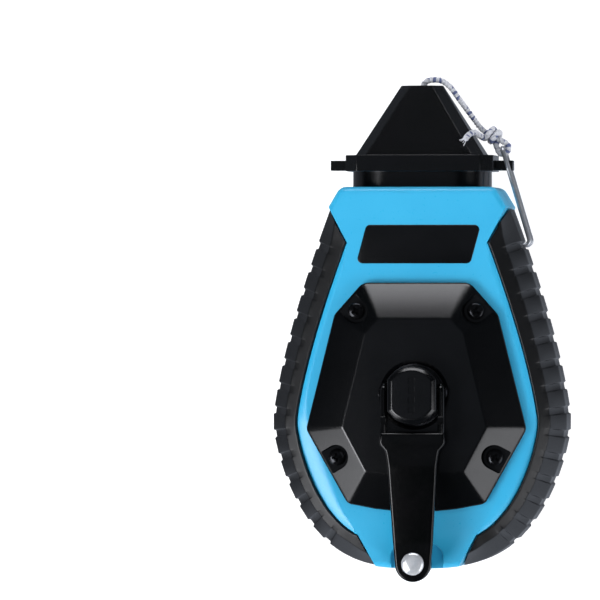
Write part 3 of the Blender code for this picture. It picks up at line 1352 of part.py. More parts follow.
def main():
    blue = material("blue_moulded_plastic", "42B8EA", 0.35)
    black = material("black_moulded_plastic", "17181B", 0.45)
    rubber = material("black_rubber", "1C1D1F", 0.7)
    paint = material("black_painted_steel", "121316", 0.3, 0.2)
    oxide = material("black_oxide_steel", "1A1A1C", 0.35, 0.8)
    zinc = material("zinc_plated_steel", "C9CBCE", 0.25, 1.0)
    sintered = material("sintered_steel", "6E7073", 0.5, 1.0)
    nylon = material("white_nylon", "E4E2DA", 0.5)
    felt = material("grey_felt", "8A8A86", 0.95)
    braid = material("braided_line", "E9EAEE", 0.85)

    case = body("case", (0.0, 0.0, 0.0))
    spool_axis = body("spool", (0.0, 0.0, SPOOL_BACK_Z))
    crank_axis = body("crank_hub", (0.0, 0.0, HUB_BASE_Z))
    button_axis = body("push_button", (0.0, 0.0, BUTTON_Z))
    fold_axis = body("crank_arm", (0.0, HINGE_Y, HINGE_Z))
    knob_axis = body("crank_knob", (0.0, KNOB_Y, KNOB_BASE_Z))
    cap_axis = body("nose_cap", (0.0, CASE_TOP_Y, MID_Z))

    fit_out([front_shell(), rear_shell()], case, blue)
    for side, half in ((1, "front"), (-1, "rear")):
        grips = [grip(f"right_{half}_grip", side, 1), grip(f"left_{half}_grip", side, -1)]
        fit_out(grips, case, rubber)
    fit_out([gear_cover()], case, black)
    fit_out([cover_gasket()], case, rubber)
    fit_out(cover_screws() + case_screws(), case, oxide)
    fit_out([ring_gear()], case, sintered)
    fit_out([spool_axle(), axle_washer()], case, zinc)
    fit_out([chalk_seal()], case, felt)
    fit_out([line_inner_run()], case, braid)

    fit_out([spool()], spool_axis, nylon)
    fit_out([sun_gear()], spool_axis, sintered)
    fit_out([line_winding()], spool_axis, braid)

    fit_out([crank_hub()], crank_axis, black)
    fit_out([planet_carrier()], crank_axis, sintered)
    fit_out(planet_pins(), crank_axis, zinc)
    fit_out([hinge_pin("hinge_pin_left", -1), hinge_pin("hinge_pin_right", 1)], crank_axis, oxide)
    fit_out([clutch_spring()], crank_axis, zinc)
    for i, (gear, (x, y)) in enumerate(zip(planet_gears(), planet_places())):
        fit_out([gear], body(f"planet_{i + 1}", (x, y, GEAR_Z)), sintered)
    fit_out([push_button()], button_axis, black)
    fit_out([crank_arm()], fold_axis, paint)
    fit_out([knob_rivet()], fold_axis, zinc)
    fit_out([crank_knob()], knob_axis, black)

    fit_out([nose_cap()], cap_axis, black)
    fit_out([line_wiper()], cap_axis, felt)
    fit_out([cap_seal()], cap_axis, rubber)
    fit_out([line_end()], cap_axis, braid)
    fit_out([line_hook()], cap_axis, zinc)


main()
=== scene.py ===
"""Looks of the chalk line reel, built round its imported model.

Metres, in the model's frame: X runs across, Y towards the nose, Z out of the front. The reel lies
on its back on a pale floor and is seen from above, as in a catalogue picture.
"""
import math

import bmesh
import bpy
from mathutils import Matrix, Vector


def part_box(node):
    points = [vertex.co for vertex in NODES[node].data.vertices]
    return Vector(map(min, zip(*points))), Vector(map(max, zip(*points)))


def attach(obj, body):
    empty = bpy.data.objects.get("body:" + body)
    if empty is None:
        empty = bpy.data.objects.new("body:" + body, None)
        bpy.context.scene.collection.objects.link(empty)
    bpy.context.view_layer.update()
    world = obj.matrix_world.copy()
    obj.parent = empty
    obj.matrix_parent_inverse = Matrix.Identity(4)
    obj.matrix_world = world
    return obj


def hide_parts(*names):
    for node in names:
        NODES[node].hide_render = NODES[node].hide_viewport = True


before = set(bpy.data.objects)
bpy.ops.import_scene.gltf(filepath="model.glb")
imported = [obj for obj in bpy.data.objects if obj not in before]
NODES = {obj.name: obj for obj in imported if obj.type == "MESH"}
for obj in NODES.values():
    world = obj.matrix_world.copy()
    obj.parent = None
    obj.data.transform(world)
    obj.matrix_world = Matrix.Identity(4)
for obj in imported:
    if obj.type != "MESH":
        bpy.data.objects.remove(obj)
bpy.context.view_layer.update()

# Case outline and section, as the solids have them
HALF_WIDTH = 0.0486
DEPTH = 0.0400
MID_Z = DEPTH / 2
TOP_Y = 0.0681
BOTTOM_Y = -0.0570
WIDEST_Y = -0.0090
SHOULDER_HALF = 0.0297
SHOULDER_Y = 0.0608
TOP_HALF = 0.0254
FLANK_POWER = 1.37
BELLY_WIDTH_POWER = 3.0
BELLY_DROP_POWER = 1.46
WALL = 0.0022
GAP = 0.0003
EDGE_ROUND = 0.0022
# Width and drop of the blue face's rounded border: at the grips' corners, along them and at the belly
BORDER_CORNER = (0.0007, 0.0004)
BORDER_NARROW = (0.0018, 0.0008)
BORDER_WIDE = (0.0062, 0.0018)
BORDER_REACH = (0.0550, 0.1280)
BORDER_EASE = 0.0045
BORDER_BEND = 1.5

# Rubber grips
GRIP_THICK = 0.0026
GRIP_WIDTH_TOP = 0.0098
GRIP_WIDTH_FOOT = 0.0080
GRIP_FACE = MID_Z - 0.0002
GRIP_SIDE = 0.0090
GRIP_CHAMFER = (0.0048, 0.0178)
GRIP_TOP_SLANT = 0.0085
GRIP_FOOT_SLANT = 0.0095
GRIP_FOOT_X = 0.0145
GROOVE_PITCH = 0.0080
GROOVE_WIDTH = 0.0018
GROOVE_DEPTH = 0.0007
GROOVE_RAMP = 0.0006
GROOVE_START = 0.0125
GROOVE_FOOT_MARGIN = 0.0080
GROOVE_REACH = (0.0010, 0.0070)

# Facet counts
ROUND = 96
SMALL_ROUND = 40
ARC = 6


# Mesh helpers

def new_piece(name, mesh):
    made = bpy.data.objects.new(name, mesh)
    bpy.context.scene.collection.objects.link(made)
    return made


def skin(name, loops, closed=False):
    """A closed skin through equal loops, capped at both ends unless it joins end to end."""
    shape = bmesh.new()
    rows = [[shape.verts.new(p) for p in loop] for loop in loops]
    spans = len(rows) if closed else len(rows) - 1
    for i in range(spans):
        low, high = rows[i], rows[(i + 1) % len(rows)]
        for j in range(len(low)):
            k = (j + 1) % len(low)
            shape.faces.new((low[j], low[k], high[k], high[j]))
    if not closed:
        shape.faces.new(rows[0])
        shape.faces.new(rows[-1])
    bmesh.ops.recalc_face_normals(shape, faces=shape.faces)
    mesh = bpy.data.meshes.new(name)
    shape.to_mesh(mesh)
    shape.free()
    return new_piece(name, mesh)


def at_z(outline, z):
    return [(x, y, z) for x, y in outline]


def at_y(outline, y):
    return [(x, y, z) for x, z in outline]


def at_x(outline, x):
    return [(x, y, z) for y, z in outline]


def circle(radius, count=SMALL_ROUND, centre=(0.0, 0.0)):
    angles = [2 * math.pi * i / count for i in range(count)]
    return [(centre[0] + radius * math.cos(a), centre[1] + radius * math.sin(a)) for a in angles]


def post(name, radius, low, high, centre=(0.0, 0.0), count=SMALL_ROUND):
    return skin(name, [at_z(circle(radius, count, centre), z) for z in (low, high)])


def turned(name, profile, centre=(0.0, 0.0), count=SMALL_ROUND):
    """A solid of revolution about Z through (radius, z) points."""
    return skin(name, [at_z(circle(r, count, centre), z) for r, z in profile])


def bored(name, profile, centre=(0.0, 0.0), count=SMALL_ROUND):
    """A ring of revolution about Z through a closed (radius, z) profile."""
    return skin(name, [at_z(circle(r, count, centre), z) for r, z in profile], closed=True)


def boolean(target, tool, operation):
    """Apply one Boolean to a piece and drop the tool."""
    modifier = target.modifiers.new("boolean", "BOOLEAN")
    modifier.object = tool
    modifier.operation = operation
    modifier.solver = "EXACT"
    bake(target)
    bpy.data.objects.remove(tool)


def bake(piece):
    """Turn a piece and its modifiers into one plain mesh."""
    bpy.context.view_layer.update()
    graph = bpy.context.evaluated_depsgraph_get()
    mesh = bpy.data.meshes.new_from_object(piece.evaluated_get(graph))
    piece.modifiers.clear()
    piece.data = mesh


def cut(target, tool):
    boolean(target, tool, "DIFFERENCE")


def join(target, tool):
    boolean(target, tool, "UNION")


def shade(piece, angle=32.0):
    """Smooth shading, with edges sharper than the angle kept crisp."""
    piece.data.shade_smooth()
    piece.data.set_sharp_from_angle(angle=math.radians(angle))


def soften(piece, width, segments=2, angle=40.0):
    """Round the sharp edges of a piece by a small radius."""
    shape = bmesh.new()
    shape.from_mesh(piece.data)
    bmesh.ops.remove_doubles(shape, verts=shape.verts, dist=1e-6)
    flat = math.radians(0.8)
    bmesh.ops.dissolve_limit(shape, angle_limit=flat, verts=shape.verts, edges=shape.edges)
    shape.to_mesh(piece.data)
    shape.free()
    bevel = piece.modifiers.new("edge", "BEVEL")
    bevel.width = width
    bevel.segments = segments
    bevel.limit_method = "ANGLE"
    bevel.angle_limit = math.radians(angle)
    bevel.use_clamp_overlap = True
    bake(piece)
    shade(piece)
    piece.modifiers.new("flat_faces", "WEIGHTED_NORMAL").keep_sharp = True
    bake(piece)


def fillet(points, radii, steps=ARC, closed=False):
    """A line of points with its corners rounded by arcs."""
    made = []
    count = len(points)
    for i, (corner, radius) in enumerate(zip(points, radii)):
        here = Vector(corner)
        if radius <= 0 or (not closed and i in (0, count - 1)):
            made.append(tuple(here))
            continue
        back = (Vector(points[i - 1]) - here).normalized()
        ahead = (Vector(points[(i + 1) % count]) - here).normalized()
        half = back.angle(ahead) / 2
        reach = radius / math.tan(half)
        middle = here + (back + ahead).normalized() * (radius / math.sin(half))
        start = here + back * reach - middle
        end = here + ahead * reach - middle
        turn = math.pi - 2 * half
        for j in range(steps + 1):
            a, b = math.sin(turn * (1 - j / steps)), math.sin(turn * j / steps)
            made.append(tuple(middle + (start * a + end * b) / math.sin(turn)))
    return made


def shift(points, distance):
    """Shift an open line of points to its right, with mitred corners."""
    count = len(points)
    sides = []
    for (u0, z0), (u1, z1) in zip(points, points[1:]):
        length = math.hypot(u1 - u0, z1 - z0)
        sides.append(((z1 - z0) / length, -(u1 - u0) / length))
    moved = []
    for i, (u, z) in enumerate(points):
        a, b = sides[max(i - 1, 0)], sides[min(i, count - 2)]
        spread = 1 + a[0] * b[0] + a[1] * b[1]
        d = distance[i] if isinstance(distance, list) else distance
        moved.append((u + d * (a[0] + b[0]) / spread, z + d * (a[1] + b[1]) / spread))
    return moved


def inset(points, distance):
    """Inset a closed counter-clockwise outline, with mitred corners."""
    closed = [points[-1]] + list(points) + [points[0]]
    return shift(closed, -distance)[1:-1]


def ease(t):
    t = min(max(t, 0.0), 1.0)
    return t * t * (3 - 2 * t)


def lerp(a, b, t):
    return tuple(p + (q - p) * t for p, q in zip(a, b))


# The case's right edge, by the length along it from the shoulder

def edge_line(steps=400):
    points = []
    for i in range(steps):
        share = 1 - i / steps
        x = HALF_WIDTH - (HALF_WIDTH - SHOULDER_HALF) * share ** FLANK_POWER
        points.append((x, WIDEST_Y + (SHOULDER_Y - WIDEST_Y) * share))
    for i in range(steps):
        angle = math.pi / 2 * i / steps
        drop = (WIDEST_Y - BOTTOM_Y) * math.sin(angle) ** (2 / BELLY_DROP_POWER)
        points.append((HALF_WIDTH * math.cos(angle) ** (2 / BELLY_WIDTH_POWER), WIDEST_Y - drop))
    points.append((0.0, BOTTOM_Y))
    lengths = [0.0]
    for a, b in zip(points, points[1:]):
        lengths.append(lengths[-1] + math.dist(a, b))
    return points, lengths


EDGE, EDGE_LENGTHS = edge_line()
EDGE_END = EDGE_LENGTHS[-1]


def edge_at(s):
    """The edge at a length from the shoulder; negative lengths run up the top corner."""
    if s < 0:
        share = -s / math.dist((SHOULDER_HALF, SHOULDER_Y), (TOP_HALF, TOP_Y))
        return lerp((SHOULDER_HALF, SHOULDER_Y), (TOP_HALF, TOP_Y), share)
    i = 1
    while EDGE_LENGTHS[i] < s and i < len(EDGE_LENGTHS) - 1:
        i += 1
    share = (s - EDGE_LENGTHS[i - 1]) / (EDGE_LENGTHS[i] - EDGE_LENGTHS[i - 1])
    return lerp(EDGE[i - 1], EDGE[i], share)


def inward_at(s):
    reach = 0.0012
    (x0, y0), (x1, y1) = edge_at(max(s - reach, 0.0)), edge_at(min(s + reach, EDGE_END))
    length = math.hypot(x1 - x0, y1 - y0)
    return ((y1 - y0) / length, -(x1 - x0) / length)


GRIP_END = EDGE_LENGTHS[max(i for i, p in enumerate(EDGE) if p[0] >= GRIP_FOOT_X)]


def grip_width(s):
    return GRIP_WIDTH_TOP + (GRIP_WIDTH_FOOT - GRIP_WIDTH_TOP) * min(max(s / GRIP_END, 0.0), 1.0)


def square(s):
    """A station square to the edge: its point, its inward direction and the grip's width there."""
    return edge_at(s), inward_at(s), grip_width(s)


def slanted(start, corner, move=0.0):
    """A station that slants from an edge point to the grip's inner corner elsewhere."""
    x, y = edge_at(start)
    (cx, cy), (dx, dy) = edge_at(corner), inward_at(corner)
    ax = cx + dx * grip_width(corner) - x
    ay = cy + dy * grip_width(corner) - y
    length = math.hypot(ax, ay)
    return edge_at(start + move), (ax / length, ay / length), length


SLANTS = 8
SLANT_STEP = 0.0002
SQUARE_START = GRIP_TOP_SLANT + SLANT_STEP * SLANTS
SQUARE_END = GRIP_END - GRIP_FOOT_SLANT - SLANT_STEP * SLANTS


def end_stations(foot, move=0.0):
    """Stations across a grip's slanted end, from its tip to where it is cut square."""
    made = []
    for i in range(SLANTS):
        share = i / SLANTS
        if foot:
            start = GRIP_END - GRIP_FOOT_SLANT * share
            corner = GRIP_END - GRIP_FOOT_SLANT - SLANT_STEP * i
        else:
            start = GRIP_TOP_SLANT * share
            corner = GRIP_TOP_SLANT + SLANT_STEP * i
        made.append(slanted(start, corner, 0.0 if i else move))
    return made


def placed(station, section, side):
    (x, y), (dx, dy), _ = station
    return [(x + dx * u, y + dy * u, MID_Z + side * h) for u, h in section]


def spaced(start, end, step):
    count = max(1, math.ceil((end - start) / step))
    return [start + (end - start) * i / count for i in range(count + 1)]


# Case shells, with the sections of the solids and rounder edges

def cut_to(points, u):
    """End a line of section points at one distance in, along its last stretch."""
    (u0, z0), (u1, z1) = points[-2], points[-1]
    return points[:-1] + [(u, z1 + (z1 - z0) / (u1 - u0) * (u - u1))]


def grip_path(width, start):
    return [(0.0, start), (0.0, GRIP_SIDE), GRIP_CHAMFER, (width, GRIP_FACE)]


def shell_covered(width, border):
    """The shell below a grip, then the step and the rounded border up to the blue face."""
    stop = width + GAP
    under = shift(cut_to(grip_path(width, GAP / 2), stop), GRIP_THICK + GAP)
    under = cut_to(under, stop)
    wide, drop = border
    curve = [(stop + wide * i / 8, MID_Z - drop * (1 - i / 8) ** BORDER_BEND) for i in range(9)]
    rounded = fillet([under[-1]] + curve[:2], (0.0, 0.00006, 0.0), steps=3)
    return under + rounded[1:] + curve[2:] + [(stop + wide + 0.0001, MID_Z)]


def border_at(s):
    """Width and drop of the border at a length along the edge."""
    low, high = BORDER_REACH
    belly = math.sin(math.pi * min(max((s - low) / (high - low), 0.0), 1.0)) ** 2
    clear = min(s - SQUARE_START, SQUARE_END - s) / BORDER_EASE
    return lerp(BORDER_CORNER, lerp(BORDER_NARROW, BORDER_WIDE, belly), ease(clear))


def shell_bare(count):
    """The shell's own rounded edge, in as many points as the covered section has."""
    top = [(0.0, GAP / 2), (0.0, MID_Z - EDGE_ROUND)]
    arc = [math.pi / 2 * i / (count - 4) for i in range(1, count - 3)]
    top += [(EDGE_ROUND * (1 - math.cos(a)), MID_Z - EDGE_ROUND * (1 - math.sin(a))) for a in arc]
    return top + [(EDGE_ROUND + 0.0002, MID_Z), (EDGE_ROUND + 0.0004, MID_Z)]


def mirrored_loops(rows):
    """Loops round the whole outline from rows of points down its right half."""
    ring = rows + [[(-x, y, z) for x, y, z in row] for row in rows[-2:0:-1]]
    return [[row[k] for row in ring] for k in range(len(ring[0]))]


def mitred(point, before, after):
    spread = 1 + before[0] * after[0] + before[1] * after[1]
    return point, ((before[0] + after[0]) / spread, (before[1] + after[1]) / spread)


def top_corner():
    """Stations round the case's top corner."""
    corners = [(0.0, TOP_Y), (TOP_HALF, TOP_Y), (SHOULDER_HALF, SHOULDER_Y)]
    arc = [Vector(p) for p in fillet(corners, (0.0, TOP_CORNER, 0.0), steps=8)[1:-1]]
    inward = Vector((0.0, -1.0))
    middle = arc[0] + inward * TOP_CORNER
    return [(tuple(p), tuple((middle - p).normalized()), 0.0) for p in arc]


TOP_CORNER = 0.0036
EDGE_STEP = 0.0030


def outer_skin(name, side):
    covered = [(st, BORDER_CORNER) for st in end_stations(False, -2 * GAP)]
    covered += [(square(s), border_at(s)) for s in spaced(SQUARE_START, SQUARE_END, EDGE_STEP)]
    covered += [(st, BORDER_CORNER) for st in end_stations(True, 2 * GAP)[::-1]]
    rows = [placed(st, shell_covered(st[2], border), side) for st, border in covered]
    bare = shell_bare(len(rows[0]))
    first = [((0.0, TOP_Y), (0.0, -1.0), 0.0)] + top_corner()
    first += [(edge_at(-6 * GAP), first[-1][1], 0.0), slanted(0.0, GRIP_TOP_SLANT, -3 * GAP)]
    last = [slanted(GRIP_END, GRIP_END - GRIP_FOOT_SLANT, 3 * GAP)]
    last += [square(s) for s in spaced(GRIP_END + 6 * GAP, EDGE_END, EDGE_STEP)[:-1]]
    last.append(((0.0, BOTTOM_Y), (0.0, 1.0), 0.0))
    rows = [placed(st, bare, side) for st in first] + rows + [placed(st, bare, side) for st in last]
    return skin(name, mirrored_loops(rows))


def cavity(side):
    """The hollow inside one half of the case."""
    def section(width):
        stop = width + GAP + WALL
        line = cut_to(grip_path(width, -WALL), stop)
        return cut_to(shift(line, GRIP_THICK + GAP + WALL), stop) + [(stop, MID_Z - WALL)]

    start = GRIP_TOP_SLANT + GRIP_CHAMFER[0]
    run = math.dist((TOP_HALF, TOP_Y), edge_at(start))
    down = ((edge_at(start)[1] - TOP_Y) / run, -(edge_at(start)[0] - TOP_HALF) / run)
    stations = [((0.0, TOP_Y), (0.0, -1.0), GRIP_WIDTH_TOP),
                (*mitred((TOP_HALF, TOP_Y), (0.0, -1.0), down), GRIP_WIDTH_TOP)]
    stations += [square(s) for s in spaced(start, EDGE_END, 4 * EDGE_STEP)[:-1]]
    stations.append(((0.0, BOTTOM_Y), (0.0, 1.0), GRIP_WIDTH_FOOT))
    return skin("cavity", mirrored_loops([placed(st, section(st[2]), side) for st in stations]))


def stadium(half_width, half_depth, count=ROUND):
    """A round-ended outline in X and Z about the middle plane."""
    points = []
    for side in (1, -1):
        for i in range(count // 2 + 1):
            angle = -math.pi / 2 + math.pi * i / (count // 2) + (0.0 if side > 0 else math.pi)
            points.append((side * (half_width - half_depth) + half_depth * math.cos(angle),
                           MID_Z + half_depth * math.sin(angle)))
    return points


def neck_prism(name, half_width, half_depth, low, high):
    outline = stadium(half_width, half_depth)
    return skin(name, [at_y(outline, low), at_y(outline, high)])


NECK = (0.0229, 0.0130)
PLUG_Y = TOP_Y - 0.0076
NECK_TOP_Y = TOP_Y + 0.0052
SCREW_RADIUS = 0.0013
SCREW_HEAD = (0.00275, 0.0018)
CASE_SCREW_SEAT = 0.0008 + SCREW_HEAD[1]
NOTCH_HALF = 0.0085
NOTCH_DEPTH = 0.0031
NOTCH_TOP_Y = BOTTOM_Y + 0.0083
NOTCH_CORNER = 0.0045
SEAL_HOLE = 0.0055 + 0.00025 + 0.0023 + GAP
COVER_SCREWS = [(-0.0196, 0.0274), (0.0196, 0.0274), (-0.0259, -0.0204), (0.0259, -0.0204)]


def middle_of(node):
    low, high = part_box(node)
    return ((low[0] + high[0]) / 2, (low[1] + high[1]) / 2)


CASE_SCREWS = [middle_of(f"case_screw_{i}") for i in (1, 2, 3, 4)]


def mouth():
    return neck_prism("mouth", NECK[0] + GAP, NECK[1] + GAP, PLUG_Y - 3 * GAP, TOP_Y + WALL)


def front_case():
    shell = outer_skin("front_case", 1)
    cut(shell, cavity(1))
    boss_top = DEPTH - WALL / 2
    for place in CASE_SCREWS:
        join(shell, post("boss", 0.0042, MID_Z + GAP / 2, boss_top, place))
        cut(shell, post("pilot", SCREW_RADIUS + GAP, MID_Z - WALL, CASE_SCREW_SEAT + 0.0303, place))
    for place in COVER_SCREWS:
        join(shell, post("boss", 0.0032, 0.0344, boss_top, place))
        cut(shell, post("pilot", SCREW_RADIUS + GAP, 0.0359, DEPTH + WALL, place))
    cut(shell, post("seal_hole", SEAL_HOLE, DEPTH - 2 * WALL, DEPTH + WALL, count=ROUND))
    below = BOTTOM_Y - 0.0083
    corners = [(NOTCH_HALF, below), (NOTCH_HALF, NOTCH_TOP_Y), (-NOTCH_HALF, NOTCH_TOP_Y), (-NOTCH_HALF, below)]
    notch = fillet(corners, (0.0, NOTCH_CORNER, NOTCH_CORNER, 0.0), steps=12, closed=True)
    lip = inset(notch, -0.0005)
    floor_z = DEPTH - NOTCH_DEPTH
    loops = [at_z(inset(notch, 0.0006), floor_z), at_z(inset(notch, 0.00015), floor_z + 0.00025),
             at_z(notch, floor_z + 0.0007), at_z(notch, DEPTH - 0.0005), at_z(inset(notch, -0.0002), DEPTH - 0.00015),
             at_z(lip, DEPTH), at_z(lip, DEPTH + WALL)]
    cut(shell, skin("notch", loops))
    cut(shell, mouth())
    shade(shell)
    return shell


def rear_case():
    shell = outer_skin("rear_case", -1)
    cut(shell, cavity(-1))
    for place in CASE_SCREWS:
        join(shell, post("boss", 0.0042, WALL / 2, MID_Z - GAP / 2, place))
        cut(shell, post("hole", SCREW_RADIUS + GAP, -WALL, MID_Z + WALL, place))
        cut(shell, post("seat", SCREW_HEAD[0] + GAP, -WALL, CASE_SCREW_SEAT + GAP, place))
    join(shell, post("axle_boss", 0.0070, WALL / 2, WALL + 0.0032))
    cut(shell, post("socket", 0.00325, WALL + 0.0005, WALL + 0.0064))
    cut(shell, mouth())
    shade(shell)
    return shell


# Rubber grips: rounded ribs between pockets that stop short of the front band's inner edge

# Points along the straight side, chamfer and front band of a grip's section
GRIP_RUNS = (4, 6, 9)


def grip_section(width, depth):
    path = grip_path(width, GAP / 2)
    inside = cut_to(shift(path, GRIP_THICK), width)
    outside = fillet(path[:-1] + [(width, GRIP_FACE), inside[-1]], (0.0, 0.0030, 0.0012, 0.0005, 0.0))[:-1]
    band = []
    for i, (a, b) in enumerate(zip(outside, outside[1:])):
        runs = GRIP_RUNS[i // (ARC + 1)] if i % (ARC + 1) == 0 else 1
        band += [lerp(a, b, j / runs) for j in range(runs)]
    band.append(outside[-1])
    low, high = GROOVE_REACH
    sunk = shift(band, [depth * (1 - ease((u - low) / (high - low))) for u, z in band])
    return sunk + inside[::-1]


def grip(name, side, mirror):
    marks = [(s, 0.0) for s in spaced(SQUARE_START, GROOVE_START - GROOVE_WIDTH, 0.0008)]
    last = GRIP_END - GRIP_FOOT_SLANT - GROOVE_FOOT_MARGIN
    count = 1 + int((last - GROOVE_START) / GROOVE_PITCH)
    half = GROOVE_WIDTH / 2
    for i in range(count):
        middle = GROOVE_START + GROOVE_PITCH * i
        slope = [(half + GROOVE_RAMP * (1 - t), GROOVE_DEPTH * ease(t)) for t in (0.0, 0.2, 0.4, 0.6, 0.8, 1.0)]
        marks += [(middle - d, depth) for d, depth in slope]
        marks += [(middle + d, depth) for d, depth in slope[::-1]]
    marks += [(s, 0.0) for s in spaced(marks[-1][0], SQUARE_END, 0.0016)[1:]]
    stations = [(st, 0.0) for st in end_stations(False)]
    stations += [(square(s), depth) for s, depth in marks]
    stations += [(st, 0.0) for st in end_stations(True)[::-1]]
    loops = [placed(st, grip_section(st[2], depth), side) for st, depth in stations]
    made = skin(name, [[(mirror * x, y, z) for x, y, z in loop] for loop in loops])
    shade(made, 40.0)
    return made


# Gear cover: a bevelled black housing with four screw pockets

COVER_BASE = [(0.0176, 0.0367), (0.0269, 0.0262), (0.0362, -0.0113), (0.0226, -0.0356)]
COVER_BASE_BOTTOM = -0.0383
PLATEAU = [(0.0119, 0.0249), (0.0162, 0.0201), (0.0237, -0.0106), (0.0161, -0.0250)]
PLATEAU_BOTTOM = -0.0262
COVER_Z = DEPTH + 2 * GAP + 0.0006
SKIRT_Z = COVER_Z + 0.0014
PLATEAU_Z = COVER_Z + 0.0085
POCKET_Z = COVER_Z + 0.0018
POCKET_RADIUS = 0.0041
HUB_HOLE = 0.0102
COVER_RADII = (0.0044, 0.0042, 0.0034, 0.0032)
PLATEAU_RADII = (0.0012, 0.0012, 0.0016, 0.0012)


def cover_outline(corners, bottom, radii):
    """A counter-clockwise outline with rounded corners and a bowed bottom edge."""
    low = corners[-1]
    bow = [(low[0] * f, bottom + (low[1] - bottom) * f * f) for f in (-0.6, -0.3, 0.0, 0.3, 0.6)]
    right = corners[::-1]
    points = bow + right + [(-x, y) for x, y in corners]
    return fillet(points, (0.0,) * len(bow) + radii[::-1] + radii, steps=5, closed=True)


def between(low, high, share):
    return [lerp(a, b, share) for a, b in zip(low, high)]


def pocket_tool(place, direction):
    """A screw pocket: round inside, with straight sides out to the cover's edge."""
    facing = math.atan2(direction[1], direction[0])
    angles = [facing + math.pi / 2 + math.pi * i / 20 for i in range(21)]
    inner = [(place[0] + POCKET_RADIUS * math.cos(a), place[1] + POCKET_RADIUS * math.sin(a)) for a in angles]
    reach = Vector(direction) * 0.0080
    far = [tuple(Vector(inner[-1]) + reach), tuple(Vector(inner[0]) + reach)]
    outline = inner + far
    top = PLATEAU_Z + WALL
    loops = [at_z(inset(outline, 0.0003), POCKET_Z), at_z(outline, POCKET_Z + 0.0003), at_z(outline, top)]
    return skin("pocket", loops)


def square_out(a, b):
    """The outward direction square to an edge of the cover, on the right side."""
    run = math.dist(a, b)
    return ((a[1] - b[1]) / run, (b[0] - a[0]) / run)


def gear_cover():
    base = cover_outline(COVER_BASE, COVER_BASE_BOTTOM, COVER_RADII)
    plateau = cover_outline(PLATEAU, PLATEAU_BOTTOM, PLATEAU_RADII)
    rise = PLATEAU_Z - SKIRT_Z
    loops = [at_z(inset(base, 0.0002), COVER_Z), at_z(base, COVER_Z + 0.0002), at_z(base, SKIRT_Z - 0.0003)]
    for share, drop in ((0.012, 0.00012), (0.035, 0.00004), (0.08, 0.0), (0.94, 0.0), (0.975, 0.00006)):
        loops.append(at_z(between(base, plateau, share), SKIRT_Z + rise * share - drop))
    loops.append(at_z(inset(plateau, 0.0001), PLATEAU_Z - 0.00004))
    loops.append(at_z(inset(plateau, 0.0004), PLATEAU_Z))
    cover = skin("gear_housing", loops)
    inner = inset(base, 0.0030)
    hollow = skin("hollow", [at_z(inner, COVER_Z - WALL), at_z(inner, SKIRT_Z), at_z(plateau, PLATEAU_Z - 0.0020)])
    for place in COVER_SCREWS:
        cut(hollow, post("post", POCKET_RADIUS + 0.0010, COVER_Z - 2 * WALL, PLATEAU_Z, place))
    cut(cover, hollow)
    upper = square_out(COVER_BASE[0], COVER_BASE[1])
    lower = square_out(COVER_BASE[2], COVER_BASE[3])
    directions = [(-abs(upper[0]), abs(upper[1])), (abs(upper[0]), abs(upper[1])),
                  (-abs(lower[0]), -abs(lower[1])), (abs(lower[0]), -abs(lower[1]))]
    for place, direction in zip(COVER_SCREWS, directions):
        cut(cover, pocket_tool(place, direction))
        cut(cover, post("hole", SCREW_RADIUS + GAP, COVER_Z - WALL, PLATEAU_Z, place))
    rim = HUB_HOLE + 0.0010
    cut(cover, turned("hub_hole", [(HUB_HOLE, COVER_Z - WALL), (HUB_HOLE, PLATEAU_Z - 0.0012), (rim, PLATEAU_Z - 0.0001),
                                   (rim + 0.0002, PLATEAU_Z), (rim + 0.0002, PLATEAU_Z + WALL)], count=ROUND))
    shade(cover, 26.0)
    return cover


# Screws: a domed pan head with a tapered cross recess

def screw(name, place, seat, length, up, turn):
    """One screw; up is 1 with its head to the front and -1 to the back."""
    rim, top = SCREW_HEAD
    dome = [(rim * math.cos(a), top * (0.42 + 0.58 * math.sin(a))) for a in [math.pi / 2 * i / 8 for i in range(8)]]
    profile = [(0.3 * SCREW_RADIUS, -length), (SCREW_RADIUS, -length + 0.0012), (SCREW_RADIUS, 0.0),
               (rim - 0.0002, 0.0), (rim, 0.0002)] + dome
    made = turned(name, profile)
    reach, half, deep = 0.0016, 0.00042, 0.0012
    cross = []
    for i in range(4):
        c, s = round(math.cos(math.pi * i / 2)), round(math.sin(math.pi * i / 2))
        cross += [(c * x - s * y, s * x + c * y) for x, y in ((reach, -half), (reach, half), (half, half))]
    loops = [at_z([(0.35 * x, 0.35 * y) for x, y in cross], top - deep), at_z(cross, top - 0.0002),
             at_z([(1.08 * x, 1.08 * y) for x, y in cross], top + deep)]
    cut(made, skin("recess", loops))
    shade(made)
    flip = Matrix.Rotation(0.0 if up > 0 else math.pi, 4, "X")
    made.data.transform(Matrix.Translation((*place, seat)) @ flip @ Matrix.Rotation(turn, 4, "Z"))
    return made


# Push button: a double-D cap with a bevelled rim and a row of plain sunk bars on its face

BUTTON_RADIUS = 0.0095
HUB_FLAT = 0.0080
BUTTON_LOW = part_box("push_button")[0][2]
BUTTON_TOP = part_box("push_button")[1][2]
BUTTON_Z = BUTTON_TOP - 0.0020


def double_d(radius, flat, count=ROUND, corner=0.0006):
    edge = math.acos(flat / radius)
    half = count // 2
    upper = [edge + (math.pi - 2 * edge) * i / half for i in range(half + 1)]
    points = [(radius * math.cos(a), radius * math.sin(a)) for a in upper]
    points += [(-x, -y) for x, y in points]
    radii = [corner if i % (half + 1) in (0, half) else 0.0 for i in range(len(points))]
    return fillet(points, radii, steps=4, closed=True)


